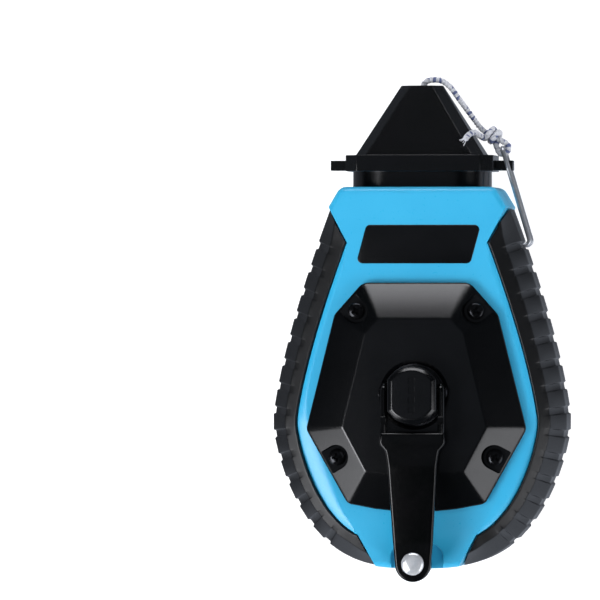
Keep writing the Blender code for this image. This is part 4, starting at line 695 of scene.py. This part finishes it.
def push_button():
    def ring(back, z):
        return at_z(double_d(BUTTON_RADIUS - back, HUB_FLAT - back), z)

    loops = [ring(0.0002, BUTTON_Z), ring(0.0, BUTTON_Z + 0.0002), ring(0.0, BUTTON_TOP - 0.0014),
             ring(0.0001, BUTTON_TOP - 0.0012), ring(0.0004, BUTTON_TOP - 0.00092), ring(0.0013, BUTTON_TOP - 0.00016),
             ring(0.0016, BUTTON_TOP - 0.00003), ring(0.0020, BUTTON_TOP)]
    made = skin("button_cap", loops)
    join(made, post("stem", 0.0045, BUTTON_LOW, BUTTON_Z + 0.0010))
    for y in (-0.0048, -0.0016, 0.0016, 0.0048):
        corners = [(-0.0012, y - 0.0010), (0.0012, y - 0.0010), (0.0012, y + 0.0010), (-0.0012, y + 0.0010)]
        bar = fillet(corners, (0.0004,) * 4, steps=4, closed=True)
        cut(made, skin("bar", [at_z(inset(bar, 0.0002), BUTTON_TOP - 0.0003), at_z(bar, BUTTON_TOP + 0.0003)]))
    shade(made)
    return made


# Crank: a pressed channel with ears, a waist, a dropped pad and a rivet that holds the knob

HINGE_Y = 0.0010
HINGE_Z = 0.0542
ARM_SHEET = 0.0020
ARM_TOP_Z = HINGE_Z + 0.0035
PAD_TOP_Z = HINGE_Z + 0.0006
EAR_IN = HUB_FLAT + GAP
EAR_OUT = EAR_IN + 0.0021
EAR_RADIUS = 0.0030
ARM_FLANGE = 0.0036
ARM_LIP = ARM_SHEET + 0.0003
KNOB_Y = HINGE_Y - 0.0560
END_RADIUS = 0.0059
WEB_START = 0.0130
WEB_ROLL = 0.0013


def channel(half, top, depth):
    """A pressed channel section with rounded outer bends and lips, in X and Z."""
    side = min(ARM_SHEET, 0.4 * half)
    bend = min(0.0009, 0.45 * half)
    low, web = top - depth, top - ARM_SHEET
    soft = min(0.0003, 0.3 * side, 0.4 * max(web - low, 0.0001))
    outline = [(-half, top), (-half, low), (side - half, low), (side - half, web),
               (half - side, web), (half - side, low), (half, low), (half, top)]
    radii = (bend, soft, soft, soft, soft, soft, soft, bend)
    return fillet(outline, radii, steps=5, closed=True)


def arm_stations():
    """Length from the hinge, half width, top height and depth down the arm."""
    ear = EAR_OUT + GAP / 2
    made = []
    for i in range(7):
        angle = math.pi / 2 * i / 6
        drop = WEB_ROLL * (1 - math.sin(angle))
        made.append((WEB_START + WEB_ROLL * (1 - math.cos(angle)), ear, ARM_TOP_Z - drop, ARM_FLANGE - drop))
    outline = [(0.0034, ear + 0.0003), (0.0043, ear - 0.0001), (0.0060, 0.0089), (0.0080, 0.0085), (0.0106, 0.0081)]
    made += [(WEB_START + reach, half, ARM_TOP_Z, ARM_FLANGE) for reach, half in outline]
    first, second = 0.0236, 0.0496
    for share in (0.03, 0.06, 0.2, 0.4, 0.6, 0.8, 0.94, 0.97, 1.0):
        bent = ease(share / 0.06) * 0.03 if share < 0.06 else share
        bent = 1 - ease((1 - share) / 0.06) * 0.03 if share > 0.94 else bent
        made.append((first + (second - first) * share, 0.0081 + (0.0065 - 0.0081) * share,
                     ARM_TOP_Z + (PAD_TOP_Z - ARM_TOP_Z) * bent, ARM_FLANGE + (ARM_LIP - ARM_FLANGE) * share))
    for i in range(15):
        angle = math.radians(84 * i / 14)
        made.append((0.0560 + END_RADIUS * math.sin(angle), END_RADIUS * math.cos(angle), PAD_TOP_Z, ARM_LIP))
    return made


def crank_arm():
    loops = [at_y(channel(half, top, depth), HINGE_Y - reach) for reach, half, top, depth in arm_stations()]
    arm = skin("pressed_arm", loops)
    angles = [math.pi / 2 - math.pi * i / 20 for i in range(21)]
    ear = [(HINGE_Y + EAR_RADIUS * math.cos(a), HINGE_Z + EAR_RADIUS * math.sin(a)) for a in angles]
    far = HINGE_Y - WEB_START - ARM_SHEET
    ear += [(far, ARM_TOP_Z - ARM_FLANGE + GAP), (far, ARM_TOP_Z - GAP)]
    soft, softer = inset(ear[::-1], 0.0003)[::-1], inset(ear[::-1], 0.0008)[::-1]
    near, up_to = HINGE_Y - 0.0106, HINGE_Z + 0.0042
    block = [(near, HINGE_Z), (near + 0.0028, HINGE_Z), (near + 0.0028, up_to), (near, up_to)]
    detent = fillet(block, (0.0, 0.0, 0.0005, 0.0005), steps=4, closed=True)
    hole = circle(0.00145, centre=(HINGE_Y, HINGE_Z))
    for side in (-1, 1):
        steps = ((softer, EAR_IN), (soft, EAR_IN + 0.0003), (ear, EAR_IN + 0.0008), (ear, EAR_OUT - 0.0008),
                 (soft, EAR_OUT - 0.0003), (softer, EAR_OUT))
        join(arm, skin("ear", [at_x(outline, side * x) for outline, x in steps]))
        join(arm, skin("detent", [at_x(outline, side * x) for outline, x in
                                  ((inset(detent, 0.0002), EAR_IN + 0.0001), (detent, EAR_IN + 0.0003),
                                   (detent, EAR_OUT - 0.0003), (inset(detent, 0.0002), EAR_OUT - 0.0001))]))
        cut(arm, skin("pin_hole", [at_x(hole, side * (EAR_IN - WALL)), at_x(hole, side * (EAR_OUT + WALL))]))
    cut(arm, post("rivet_hole", 0.0019, PAD_TOP_Z - ARM_LIP - GAP, ARM_TOP_Z, (0.0, KNOB_Y)))
    shade(arm, 30.0)
    return arm


def knob_rivet():
    low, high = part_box("knob_rivet")
    seat = PAD_TOP_Z + GAP
    profile = [(0.0024, low[2]), (0.0026, low[2] + 0.0002), (0.0026, low[2] + 0.0008), (0.0016, low[2] + 0.0008),
               (0.0016, seat), (0.0036, seat), (0.0037, seat + 0.0002)]
    rise = high[2] - seat - 0.0002
    for i in range(1, 13):
        angle = math.radians(78 * i / 12)
        profile.append((0.0037 * math.cos(angle), seat + 0.0002 + rise * math.sin(angle)))
    made = turned("rivet_dome", profile, (0.0, KNOB_Y), ROUND)
    shade(made)
    return made


def crank_knob():
    low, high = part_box("crank_knob")
    base, top = low[2], high[2]
    rim = [(0.0052 - 0.0008 * (1 - math.cos(a)), 0.0008 * (1 - math.sin(a))) for a in
           [math.pi / 2 * i / 6 for i in range(7)]]
    profile = [(r, base + z) for r, z in rim[::-1]]
    for i in range(1, 10):
        waist = 0.00025 * math.sin(math.pi * i / 10)
        profile.append((0.0052 - waist, base + 0.0008 + (top - base - 0.0016) * i / 10))
    profile += [(r, top - z) for r, z in rim]
    profile += [(0.00185, top), (0.00185, base + 0.0017), (0.00285, base + 0.0017), (0.00285, base)]
    made = bored("knob_barrel", profile, (0.0, KNOB_Y), ROUND)
    shade(made)
    return made


# Nose cap: a grained funnel on a flange, with a tab each side and a neck that plugs the case

FLANGE_Y = NECK_TOP_Y + 0.0053
NOSE_Y = FLANGE_Y + 0.0230
NOSE_BASE = (0.0211, 0.0130, 0.0036)
NOSE_TIP = (0.0068, 0.0050, 0.0032)
FLANGE = (0.0243, 0.0155, 0.0040)
TAB_SPAN = 0.0301
TAB_HALF = 0.0030


def chamfered(half_width, half_depth, corner):
    w, d, c = half_width, half_depth, corner
    flat = [(w, c - d), (w, d - c), (w - c, d), (c - w, d)]
    return [(x, MID_Z + z) for x, z in flat + [(-x, -z) for x, z in flat]]


def nose_at(y, wall):
    size = lerp(NOSE_BASE, NOSE_TIP, (y - FLANGE_Y) / (NOSE_Y - FLANGE_Y))
    return at_y(chamfered(size[0] - wall, size[1] - wall, size[2]), y)


def nose_cap():
    flange = chamfered(*FLANGE)
    loops = [at_y(flange, NECK_TOP_Y), at_y(flange, FLANGE_Y), nose_at(FLANGE_Y, 0.0), nose_at(NOSE_Y, 0.0)]
    cap = skin("nose_funnel", loops)
    bar = [(TAB_SPAN, MID_Z - TAB_HALF), (TAB_SPAN, MID_Z + TAB_HALF), (-TAB_SPAN, MID_Z + TAB_HALF),
           (-TAB_SPAN, MID_Z - TAB_HALF)]
    join(cap, skin("tabs", [at_y(bar, NECK_TOP_Y + GAP), at_y(bar, NECK_TOP_Y + GAP + 0.0033)]))
    join(cap, neck_prism("neck", NECK[0], NECK[1], PLUG_Y, NECK_TOP_Y + WALL))
    cut(cap, neck_prism("bore", NECK[0] - 0.0028, NECK[1] - 0.0028, PLUG_Y - WALL, FLANGE_Y - WALL))
    cut(cap, skin("hollow", [nose_at(FLANGE_Y - 2 * WALL, 0.0023), nose_at(NOSE_Y - 0.0030, 0.0023)]))
    ring = circle(0.0024, centre=(0.0, MID_Z))
    cut(cap, skin("line_hole", [at_y(ring, NOSE_Y - 0.0060), at_y(ring, NOSE_Y + WALL)]))
    low = PLUG_Y + 0.0026
    around = stadium(NECK[0] + WALL, NECK[1] + WALL)
    within = stadium(NECK[0] - 0.0017, NECK[1] - 0.0017)
    heights = (low - GAP, low + 0.0020 + GAP)
    groove = [at_y(around, heights[0]), at_y(around, heights[1]), at_y(within, heights[1]), at_y(within, heights[0])]
    cut(cap, skin("groove", groove, closed=True))
    soften(cap, 0.00060, segments=3, angle=24.0)
    return cap


# Hook and line

WIRE = 0.00075
LINE_RADIUS = 0.00085
LINE_LOOK_RADIUS = 0.00105
HOOK_TOP = (FLANGE[0] + 0.0024, FLANGE_Y + 0.0024)
HOOK_LEG = TAB_HALF + 0.00035 + WIRE


def swept(name, points, sections, turns=None):
    """A tube along points, each with its own section of (across, up) points and its own turn."""
    route = [Vector(p) for p in points]
    ahead = [(b - a).normalized() for a, b in zip(route, route[1:])]
    ahead.append(ahead[-1])
    across = ahead[0].orthogonal().normalized()
    loops = []
    for i, point in enumerate(route):
        across = (across - ahead[i] * across.dot(ahead[i])).normalized()
        up = ahead[i].cross(across)
        c, s = (math.cos(turns[i]), math.sin(turns[i])) if turns else (1.0, 0.0)
        loops.append([tuple(point + across * (c * u - s * v) + up * (s * u + c * v)) for u, v in sections[i]])
    return skin(name, loops)


def line_hook():
    """One bent wire: two prongs, two legs beside the cap's tab and a bar across the top."""
    x, y = edge_at(GROOVE_START)
    tip = (x - 0.00015, y)
    knee = (tip[0] + 0.0024, tip[1] + 0.0001)
    half = [(*tip, HOOK_LEG), (*knee, HOOK_LEG), (*HOOK_TOP, HOOK_LEG)]
    wire = half + [(px, py, -pz) for px, py, pz in half[::-1]]
    path = fillet([(px, py, MID_Z + pz) for px, py, pz in wire], (0.0, 0.0016, 0.0015, 0.0015, 0.0016, 0.0), steps=10)
    sections = [circle(WIRE, 20)] * len(path)
    path = [lerp(path[0], path[1], t) for t in (0.0, 0.03, 0.1)] + path[1:-1] + \
           [lerp(path[-2], path[-1], t) for t in (0.9, 0.97, 1.0)]
    sections = [circle(WIRE * r, 20) for r in (0.55, 0.85)] + [circle(WIRE, 20)] * (len(path) - 4)
    sections += [circle(WIRE * r, 20) for r in (0.85, 0.55)]
    made = swept("hook_wire", path, sections)
    shade(made)
    return made


# Route points of the line's free end, as the solids have it but with a slightly shorter tail
LINE_OUT = [(0.0000, 0.0884, 0.0200), (0.0000, 0.0950, 0.0200), (0.0001, 0.1004, 0.0200),
            (0.0010, 0.1027, 0.0202), (0.0032, 0.1035, 0.0204), (0.0064, 0.1032, 0.0206),
            (0.0092, 0.1012, 0.0208), (0.0117, 0.0979, 0.0210), (0.0142, 0.0945, 0.0212),
            (0.0168, 0.0910, 0.0214)]
LINE_TAIL = [(0.0196, 0.0848, 0.0246), (0.0181, 0.0860, 0.0274), (0.0167, 0.0855, 0.0310),
             (0.0154, 0.0839, 0.0333)]
KNOT_DIRECTION = (0.868, -0.496)
KNOT_Z = 0.0216
KNOT_PITCH = 0.0021
KNOT_TURNS = 2


def knot_points():
    """The line round the hook's bar, back and wound about itself."""
    dx, dy = KNOT_DIRECTION
    loop = WIRE + LINE_RADIUS + GAP
    wrap = 2 * LINE_RADIUS + GAP
    start = (HOOK_TOP[0] - dy * loop, HOOK_TOP[1] + dx * loop)

    def along(t, n, k):
        return (start[0] + dx * t - dy * n, start[1] + dy * t + dx * n, KNOT_Z + k)

    length = KNOT_PITCH * KNOT_TURNS
    near = 1.2 * KNOT_PITCH
    points = [along(-near - length - KNOT_PITCH, 0.0, 0.0), along(-near - length / 2, 0.0, 0.0),
              along(-near / 2, 0.0, 0.0)]
    for angle in [math.radians(a) for a in (80, 35, -10, -55, -100)]:
        points.append(along(loop * math.cos(angle), loop * (math.sin(angle) - 1), 0.0))
    for i in range(8 * KNOT_TURNS + 1):
        angle = math.pi + math.pi * i / 4
        t = -near - length * i / (8 * KNOT_TURNS)
        points.append(along(t, wrap * math.cos(angle), wrap * math.sin(angle)))
    return points


def smooth(points, steps):
    """Points along a smooth curve through the given ones, a few to each stretch."""
    route = [Vector(p) for p in points]
    ends = [2 * route[0] - route[1]] + route + [2 * route[-1] - route[-2]]
    made = []
    for a, b, c, d in zip(ends, ends[1:], ends[2:], ends[3:]):
        for i in range(steps):
            t = i / steps
            bend = 2 * a - 5 * b + 4 * c - d
            turn = 3 * b - a - 3 * c + d
            made.append(0.5 * (2 * b + (c - a) * t + bend * t * t + turn * t * t * t))
    made.append(route[-1])
    return made


LINE_ROUTE = smooth(LINE_OUT + knot_points() + LINE_TAIL, 5)
LAY = 0.0042


def line_cord():
    """The free end of the line: three twisted strands, mapped along and round for its flecks."""
    count = 24
    lobes = []
    for i in range(count):
        a = 2 * math.pi * i / count
        r = LINE_LOOK_RADIUS * (0.92 + 0.08 * math.cos(3 * a))
        lobes.append((r * math.cos(a), r * math.sin(a)))
    runs = [0.0]
    for a, b in zip(LINE_ROUTE, LINE_ROUTE[1:]):
        runs.append(runs[-1] + (b - a).length)
    made = swept("line_cord", LINE_ROUTE, [lobes] * len(LINE_ROUTE), [2 * math.pi * s / LAY for s in runs])
    mapped = made.data.uv_layers.new(name="along_and_round")
    for polygon in made.data.polygons:
        rounds = [(v % count) / count for v in polygon.vertices]
        wraps = max(rounds) - min(rounds) > 0.5
        for loop, v, part in zip(polygon.loop_indices, polygon.vertices, rounds):
            mapped.data[loop].uv = (runs[v // count] / LAY, part + 1.0 if wraps and part < 0.5 else part)
    shade(made, 60.0)
    return made


def line_fray():
    """Loose fibres at the tail's cut end."""
    end = Vector(LINE_ROUTE[-1])
    ahead = (end - Vector(LINE_ROUTE[-2])).normalized()
    across = ahead.orthogonal().normalized()
    up = ahead.cross(across)
    fibre = [circle(0.00011, 6)] * 6
    whole = None
    for i in range(9):
        angle = 2.4 * i
        out = across * math.cos(angle) + up * math.sin(angle)
        reach = 0.0018 + 0.0004 * (i % 4)
        base = end - ahead * 0.0006 + out * LINE_RADIUS * (0.25 + 0.06 * i)
        points = [base + ahead * reach * t + out * 0.0007 * t * t for t in (0.0, 0.2, 0.4, 0.6, 0.8, 1.0)]
        strand = swept("line_fray", points, fibre)
        if whole is None:
            whole = strand
            continue
        shape = bmesh.new()
        shape.from_mesh(whole.data)
        shape.from_mesh(strand.data)
        shape.to_mesh(whole.data)
        shape.free()
        bpy.data.objects.remove(strand)
    shade(whole, 60.0)
    return whole


# Blank black plate on the blue face

def blank_plate():
    """A thin plain black plate with slanted ends, bare of any marking."""
    corners = [(-0.0200, 0.0430), (0.0176, 0.0430), (0.0210, 0.0556), (-0.0166, 0.0556)]
    outline = fillet(corners, (0.0016,) * 4, steps=8, closed=True)
    loops = [at_z(outline, DEPTH - 0.0003), at_z(outline, DEPTH + 0.00012), at_z(inset(outline, 0.00008), DEPTH + 0.0002),
             at_z(inset(outline, 0.00022), DEPTH + 0.00024)]
    made = skin("blank_plate", loops)
    shade(made)
    return made


# Materials

def linear(hex_colour):
    values = [int(hex_colour[i:i + 2], 16) / 255 for i in (0, 2, 4)]
    return (*[v / 12.92 if v <= 0.04045 else ((v + 0.055) / 1.055) ** 2.4 for v in values], 1.0)


def per_mm(size):
    """Texture scale for a pattern of this size in millimetres."""
    return 1000.0 / size


def node(tree, kind, values=(), **links):
    """Add a shader node, set its sockets or settings and link its inputs."""
    made = tree.nodes.new("ShaderNode" + kind)
    for key, value in dict(values).items():
        if key in made.inputs:
            made.inputs[key].default_value = value
        else:
            setattr(made, key, value)
    for key, source in links.items():
        tree.links.new(source, made.inputs[key.replace("_", " ")])
    return made


def finish(name, low, high, roughness, grain, bump, metallic=0.0, ior=None, coat=0.0):
    """A surface whose colour, roughness and relief vary with noise; returns it for more work.

    low and high are the hex colours it varies between, roughness is a pair, grain is (fine, broad)
    in millimetres and bump is the fine relief's height in millimetres.
    """
    made = bpy.data.materials.new(name)
    made.use_nodes = True
    tree = made.node_tree
    shader = tree.nodes["Principled BSDF"]
    shader.inputs["Metallic"].default_value = metallic
    shader.inputs["Coat Weight"].default_value = coat
    if ior:
        shader.inputs["IOR"].default_value = ior
    where = node(tree, "TexCoord").outputs["Object"]
    broad = node(tree, "TexNoise", {"Scale": per_mm(grain[1]), "Detail": 4.0, "Roughness": 0.6}, Vector=where)
    fine = node(tree, "TexNoise", {"Scale": per_mm(grain[0]), "Detail": 3.0, "Roughness": 0.6}, Vector=where)
    tone = node(tree, "ValToRGB", {}, Fac=broad.outputs["Fac"])
    tone.color_ramp.elements[0].position = 0.3
    tone.color_ramp.elements[1].position = 0.7
    tone.color_ramp.elements[0].color = linear(low)
    tone.color_ramp.elements[1].color = linear(high)
    tree.links.new(tone.outputs["Color"], shader.inputs["Base Color"])
    gloss = node(tree, "MapRange", {"From Min": 0.25, "From Max": 0.75, "To Min": roughness[0],
                                    "To Max": roughness[1]}, Value=fine.outputs["Fac"])
    tree.links.new(gloss.outputs["Result"], shader.inputs["Roughness"])
    relief = node(tree, "Bump", {"Strength": 1.0, "Distance": bump / 1000.0}, Height=fine.outputs["Fac"])
    tree.links.new(relief.outputs["Normal"], shader.inputs["Normal"])
    return made, tree, shader, relief


# Injection-moulded blue ABS: even colour, a satin sheen and a faint mould texture
BLUE = finish("moulded_blue_abs", "2AA2CE", "32AAD5", (0.26, 0.36), (0.9, 30.0), 0.004, ior=1.53)[0]
# Spark-eroded black ABS: a fine even grain that scatters highlights to grey. The grain is drawn at
# 0.55 mm, coarser than the real 0.2 mm, so that it shows
BLACK_GRAIN = finish("spark_eroded_black_abs", "030405", "060709", (0.20, 0.25), (0.55, 14.0), 0.004, ior=1.53)[0]
# Smooth moulded black nylon for the hub, button and knob: a softer, more even sheen
BLACK_SMOOTH = finish("moulded_black_nylon", "030405", "060709", (0.22, 0.25), (0.7, 9.0), 0.0012, ior=1.53)[0]
# Over-moulded rubber: matt, with dust-pale patches where hands rub it
RUBBER = finish("overmoulded_black_rubber", "050607", "090A0C", (0.35, 0.45), (0.6, 7.0), 0.006, ior=1.52)[0]
# Powder-coated pressed steel: near-black, semi-gloss, with a slight orange peel
POWDER = finish("powder_coated_black_steel", "020303", "050506", (0.16, 0.24), (1.1, 12.0), 0.0015, ior=1.36, coat=0.1)[0]
# Black-oxide steel screws: dark metal with a dull oily shine
OXIDE = finish("black_oxide_steel", "1C1D1F", "28292C", (0.15, 0.24), (0.4, 3.0), 0.002, metallic=0.85)[0]
# Bright zinc plate: pale blue-grey metal, slightly crystalline, whose bloom scatters part of the light
ZINC = finish("bright_zinc_plated_steel", "B6BAC0", "D6D8DC", (0.28, 0.40), (0.5, 3.5), 0.004, metallic=0.85)[0]
# The rivet's zinc, peened by its setting: shallow dents about 1.3 mm across that break up its shine
PEENED = finish("peened_zinc_rivet", "CDD2D8", "EEF0F2", (0.16, 0.26), (1.6, 2.6), 0.014, metallic=0.6)[0]
# Sintered steel gears: dull grey metal with open pores
SINTERED = finish("sintered_steel", "5C5E62", "74767A", (0.42, 0.60), (0.3, 2.5), 0.020, metallic=1.0)[0]
# Natural nylon spool: waxy off-white
NYLON = finish("natural_moulded_nylon", "DAD7CC", "E6E3DA", (0.40, 0.52), (0.8, 12.0), 0.010, ior=1.53)[0]
# Pressed wool felt: soft mottled grey with loose fibres
FELT = finish("pressed_wool_felt", "767672", "969690", (0.90, 1.0), (0.35, 1.6), 0.12, ior=1.45)[0]


# Wave texture scale that gives one band to each unit of its coordinate
ONE_WAVE = 2 * math.pi / 20


def braided_line():
    """Braided polyester line: white strands and one dark tracer that dips under the others."""
    made, tree, shader, relief = finish("braided_polyester_line", "D9DADF", "EDEEF1", (0.75, 0.9), (0.18, 2.0), 0.06,
                                        ior=1.5)
    mapped = node(tree, "UVMap", {"uv_map": "along_and_round"}).outputs["UV"]
    tracer = node(tree, "TexWave", {"Scale": ONE_WAVE, "Distortion": 0.4, "bands_direction": "DIAGONAL"}, Vector=mapped)
    under = node(tree, "TexWave", {"Scale": 2 * ONE_WAVE, "Distortion": 1.2, "Detail": 1.0}, Vector=mapped)
    shown = node(tree, "Math", {"operation": "MULTIPLY"})
    tree.links.new(tracer.outputs["Fac"], shown.inputs[0])
    tree.links.new(under.outputs["Fac"], shown.inputs[1])
    dark = node(tree, "ValToRGB", {}, Fac=shown.outputs["Value"])
    dark.color_ramp.elements[0].position = 0.42
    dark.color_ramp.elements[1].position = 0.55
    dark.color_ramp.elements[0].color = linear("C6C8CE")
    dark.color_ramp.elements[1].color = linear("5A6488")
    fibres = node(tree, "TexWave", {"Scale": 3 * ONE_WAVE, "Distortion": 0.6, "bands_direction": "DIAGONAL"}, Vector=mapped)
    tree.links.new(dark.outputs["Color"], shader.inputs["Base Color"])
    tree.links.new(fibres.outputs["Fac"], relief.inputs["Height"])
    return made


LINE_WHITE = braided_line()
# The same line seen wound and inside, without a mapping of its own
LINE_WOUND = finish("wound_polyester_line", "B9BCC6", "E8E9ED", (0.75, 0.9), (0.5, 1.2), 0.10, ior=1.5)[0]


# Pieces on the model

def dress(piece, finish_made, body, slot, *stands_for):
    """Give a piece its finish, ride its body and stand for its nodes."""
    piece.data.materials.clear()
    piece.data.materials.append(finish_made)
    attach(piece, body)
    if stands_for:
        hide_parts(*stands_for)
    return piece


def assemble():
    dress(front_case(), BLUE, "case", "blue_case_plastic", "front_shell")
    dress(rear_case(), BLUE, "case", "blue_case_plastic", "rear_shell")
    for side, half in ((1, "front"), (-1, "rear")):
        for mirror, hand in ((1, "right"), (-1, "left")):
            made = grip(f"{hand}_{half}_rib_grip", side, mirror)
            dress(made, RUBBER, "case", "grip_rubber", f"{hand}_{half}_grip")
    dress(gear_cover(), BLACK_GRAIN, "case", "black_cover_plastic", "gear_cover")
    dress(blank_plate(), BLACK_SMOOTH, "case", "black_cover_plastic")
    turns = (0.5, 1.1, 0.2, 0.9)
    for i, (place, turn) in enumerate(zip(COVER_SCREWS, turns), 1):
        made = screw(f"cover_pan_screw_{i}", place, POCKET_Z + GAP, 0.0070, 1, turn)
        dress(made, OXIDE, "case", "black_screw_steel", f"cover_screw_{i}")
    for i, (place, turn) in enumerate(zip(CASE_SCREWS, turns), 1):
        made = screw(f"case_pan_screw_{i}", place, CASE_SCREW_SEAT, 0.0300, -1, turn)
        dress(made, OXIDE, "case", "black_screw_steel", f"case_screw_{i}")
    dress(push_button(), BLACK_SMOOTH, "button", "black_hub_plastic", "push_button")
    dress(crank_arm(), POWDER, "crank", "black_painted_steel", "crank_arm")
    dress(knob_rivet(), PEENED, "crank", "zinc_plated_steel", "knob_rivet")
    dress(crank_knob(), BLACK_SMOOTH, "knob", "black_hub_plastic", "crank_knob")
    dress(nose_cap(), BLACK_GRAIN, "cap", "black_cover_plastic", "nose_cap")
    hook = dress(line_hook(), ZINC, "cap", "zinc_plated_steel", "line_hook")
    line = dress(line_cord(), LINE_WHITE, "cap", "braided_line", "line_end")
    fray = dress(line_fray(), LINE_WOUND, "cap", "braided_line")


CAD_FINISHES = {
    "crank_hub": BLACK_SMOOTH, "cover_gasket": RUBBER, "cap_seal": RUBBER, "ring_gear": SINTERED,
    "sun_gear": SINTERED, "planet_carrier": SINTERED, "planet_gear_1": SINTERED, "planet_gear_2": SINTERED,
    "planet_gear_3": SINTERED, "spool_axle": ZINC, "axle_washer": ZINC, "planet_pin_1": ZINC,
    "planet_pin_2": ZINC, "planet_pin_3": ZINC, "hinge_pin_left": OXIDE, "hinge_pin_right": OXIDE,
    "clutch_spring": ZINC, "spool": NYLON, "chalk_seal": FELT, "line_wiper": FELT,
    "line_winding": LINE_WOUND, "line_inner_run": LINE_WOUND,
}
for cad_name, cad_finish in CAD_FINISHES.items():
    NODES[cad_name].data.materials.clear()
    NODES[cad_name].data.materials.append(cad_finish)

assemble()


# Camera: a long lens from above, a little to the reel's right, with the reel in the right half
PIXEL = 0.00033
FRAME_WIDTH = 600 * PIXEL
DISTANCE = 3.0
AIM = Vector((-0.0406, 0.0310, MID_Z))
TILT_X = math.radians(6.1)
TILT_Y = math.radians(0.0)
SENSOR = 36.0

lens = bpy.data.cameras.new("camera")
lens.sensor_width = SENSOR
lens.lens = SENSOR * DISTANCE / FRAME_WIDTH
camera = bpy.data.objects.new("camera", lens)
bpy.context.scene.collection.objects.link(camera)
back = Vector((math.sin(TILT_X), math.sin(TILT_Y), math.cos(TILT_X))).normalized()
right = Vector((0.0, 1.0, 0.0)).cross(back).normalized()
up = back.cross(right)
camera.matrix_world = Matrix.Translation(AIM + back * DISTANCE) @ Matrix((right, up, back)).transposed().to_4x4()
bpy.context.scene.camera = camera


# Studio: a pale floor and soft boxes above the nose and beside the lower corners

def floor():
    shape = bmesh.new()
    reach = 3.0
    corners = [(-reach, -reach), (reach, -reach), (reach, reach), (-reach, reach)]
    shape.faces.new([shape.verts.new((x, y, -0.0004)) for x, y in corners])
    mesh = bpy.data.meshes.new("floor")
    shape.to_mesh(mesh)
    shape.free()
    made = new_piece("floor", mesh)
    paper, _, shader, _ = finish("back_lit_white_acrylic", "B4B4B4", "B8B8B8", (0.85, 0.95), (3.0, 200.0), 0.0)
    shader.inputs["Emission Color"].default_value = linear("FFFFFF")
    shader.inputs["Emission Strength"].default_value = 0.80
    mesh.materials.append(paper)
    return made


COOL_WHITE = (0.95, 0.96, 1.0)


def soft_box(name, place, size, power):
    light = bpy.data.lights.new(name, "AREA")
    light.shape = "RECTANGLE"
    light.size, light.size_y = size
    light.energy = power
    light.color = COOL_WHITE
    made = bpy.data.objects.new(name, light)
    made.location = place
    made.rotation_euler = (-Vector(place)).to_track_quat("-Z", "Y").to_euler()
    bpy.context.scene.collection.objects.link(made)
    return made


def from_sky(azimuth, elevation, distance):
    """A place round the reel by its angles, azimuth from +X towards the nose."""
    across = distance * math.cos(math.radians(elevation))
    return (across * math.cos(math.radians(azimuth)), across * math.sin(math.radians(azimuth)),
            distance * math.sin(math.radians(elevation)))


# The floor and the fills light the colours but stay out of the highlights, as flags would do
floor().visible_glossy = False
soft_box("box_nose", from_sky(90, 24, 0.9), (0.75, 0.24), 3.3)
soft_box("box_left", from_sky(219, 24, 0.9), (0.45, 0.38), 1.7)
soft_box("box_right", from_sky(-28, 30, 0.9), (0.72, 0.38), 2.5)
soft_box("box_low_left", from_sky(208, 49, 0.9), (0.55, 0.34), 5.6)
soft_box("overhead_fill", (0.0, 0.0, 1.6), (2.4, 2.4), 15.5).visible_glossy = False
for around, power in ((0, 5.0), (90, 0.8), (180, 0.5), (270, 8.0)):
    soft_box(f"side_fill_{around}", from_sky(around, 20, 1.4), (1.2, 0.6), power).visible_glossy = False
# What the glossy pieces reflect: a grey card overhead that leans to the nose, and a floor that is
# brighter below the foot than below the nose
world = bpy.data.worlds.new("studio")
world.use_nodes = True
sky = world.node_tree
heading = node(sky, "TexCoord").outputs["Generated"]
leaning = node(sky, "Mapping", {"Rotation": (math.radians(12), 0.0, 0.0)}, Vector=heading)
towards = node(sky, "SeparateXYZ", {}, Vector=leaning.outputs["Vector"])
card = node(sky, "MapRange", {"From Min": 0.90, "From Max": 0.97, "To Min": 0.015, "To Max": 0.135},
            Value=towards.outputs["Z"])
turned = node(sky, "Mapping", {"Rotation": (0.0, 0.0, math.radians(-27))}, Vector=heading)
height = node(sky, "SeparateXYZ", {}, Vector=turned.outputs["Vector"])
ground = node(sky, "MapRange", {"From Min": -0.5, "From Max": 0.15, "To Min": 0.95, "To Max": 0.22},
              Value=height.outputs["Y"])
brightness = node(sky, "MapRange", {"From Min": -0.1, "From Max": 0.0}, Value=height.outputs["Z"],
                  To_Min=ground.outputs["Result"], To_Max=card.outputs["Result"])
sky.links.new(brightness.outputs["Result"], sky.nodes["Background"].inputs["Strength"])
sky.nodes["Background"].inputs["Color"].default_value = linear("DFE7F6")
bpy.context.scene.world = world
bpy.context.scene.view_settings.view_transform = "Standard"
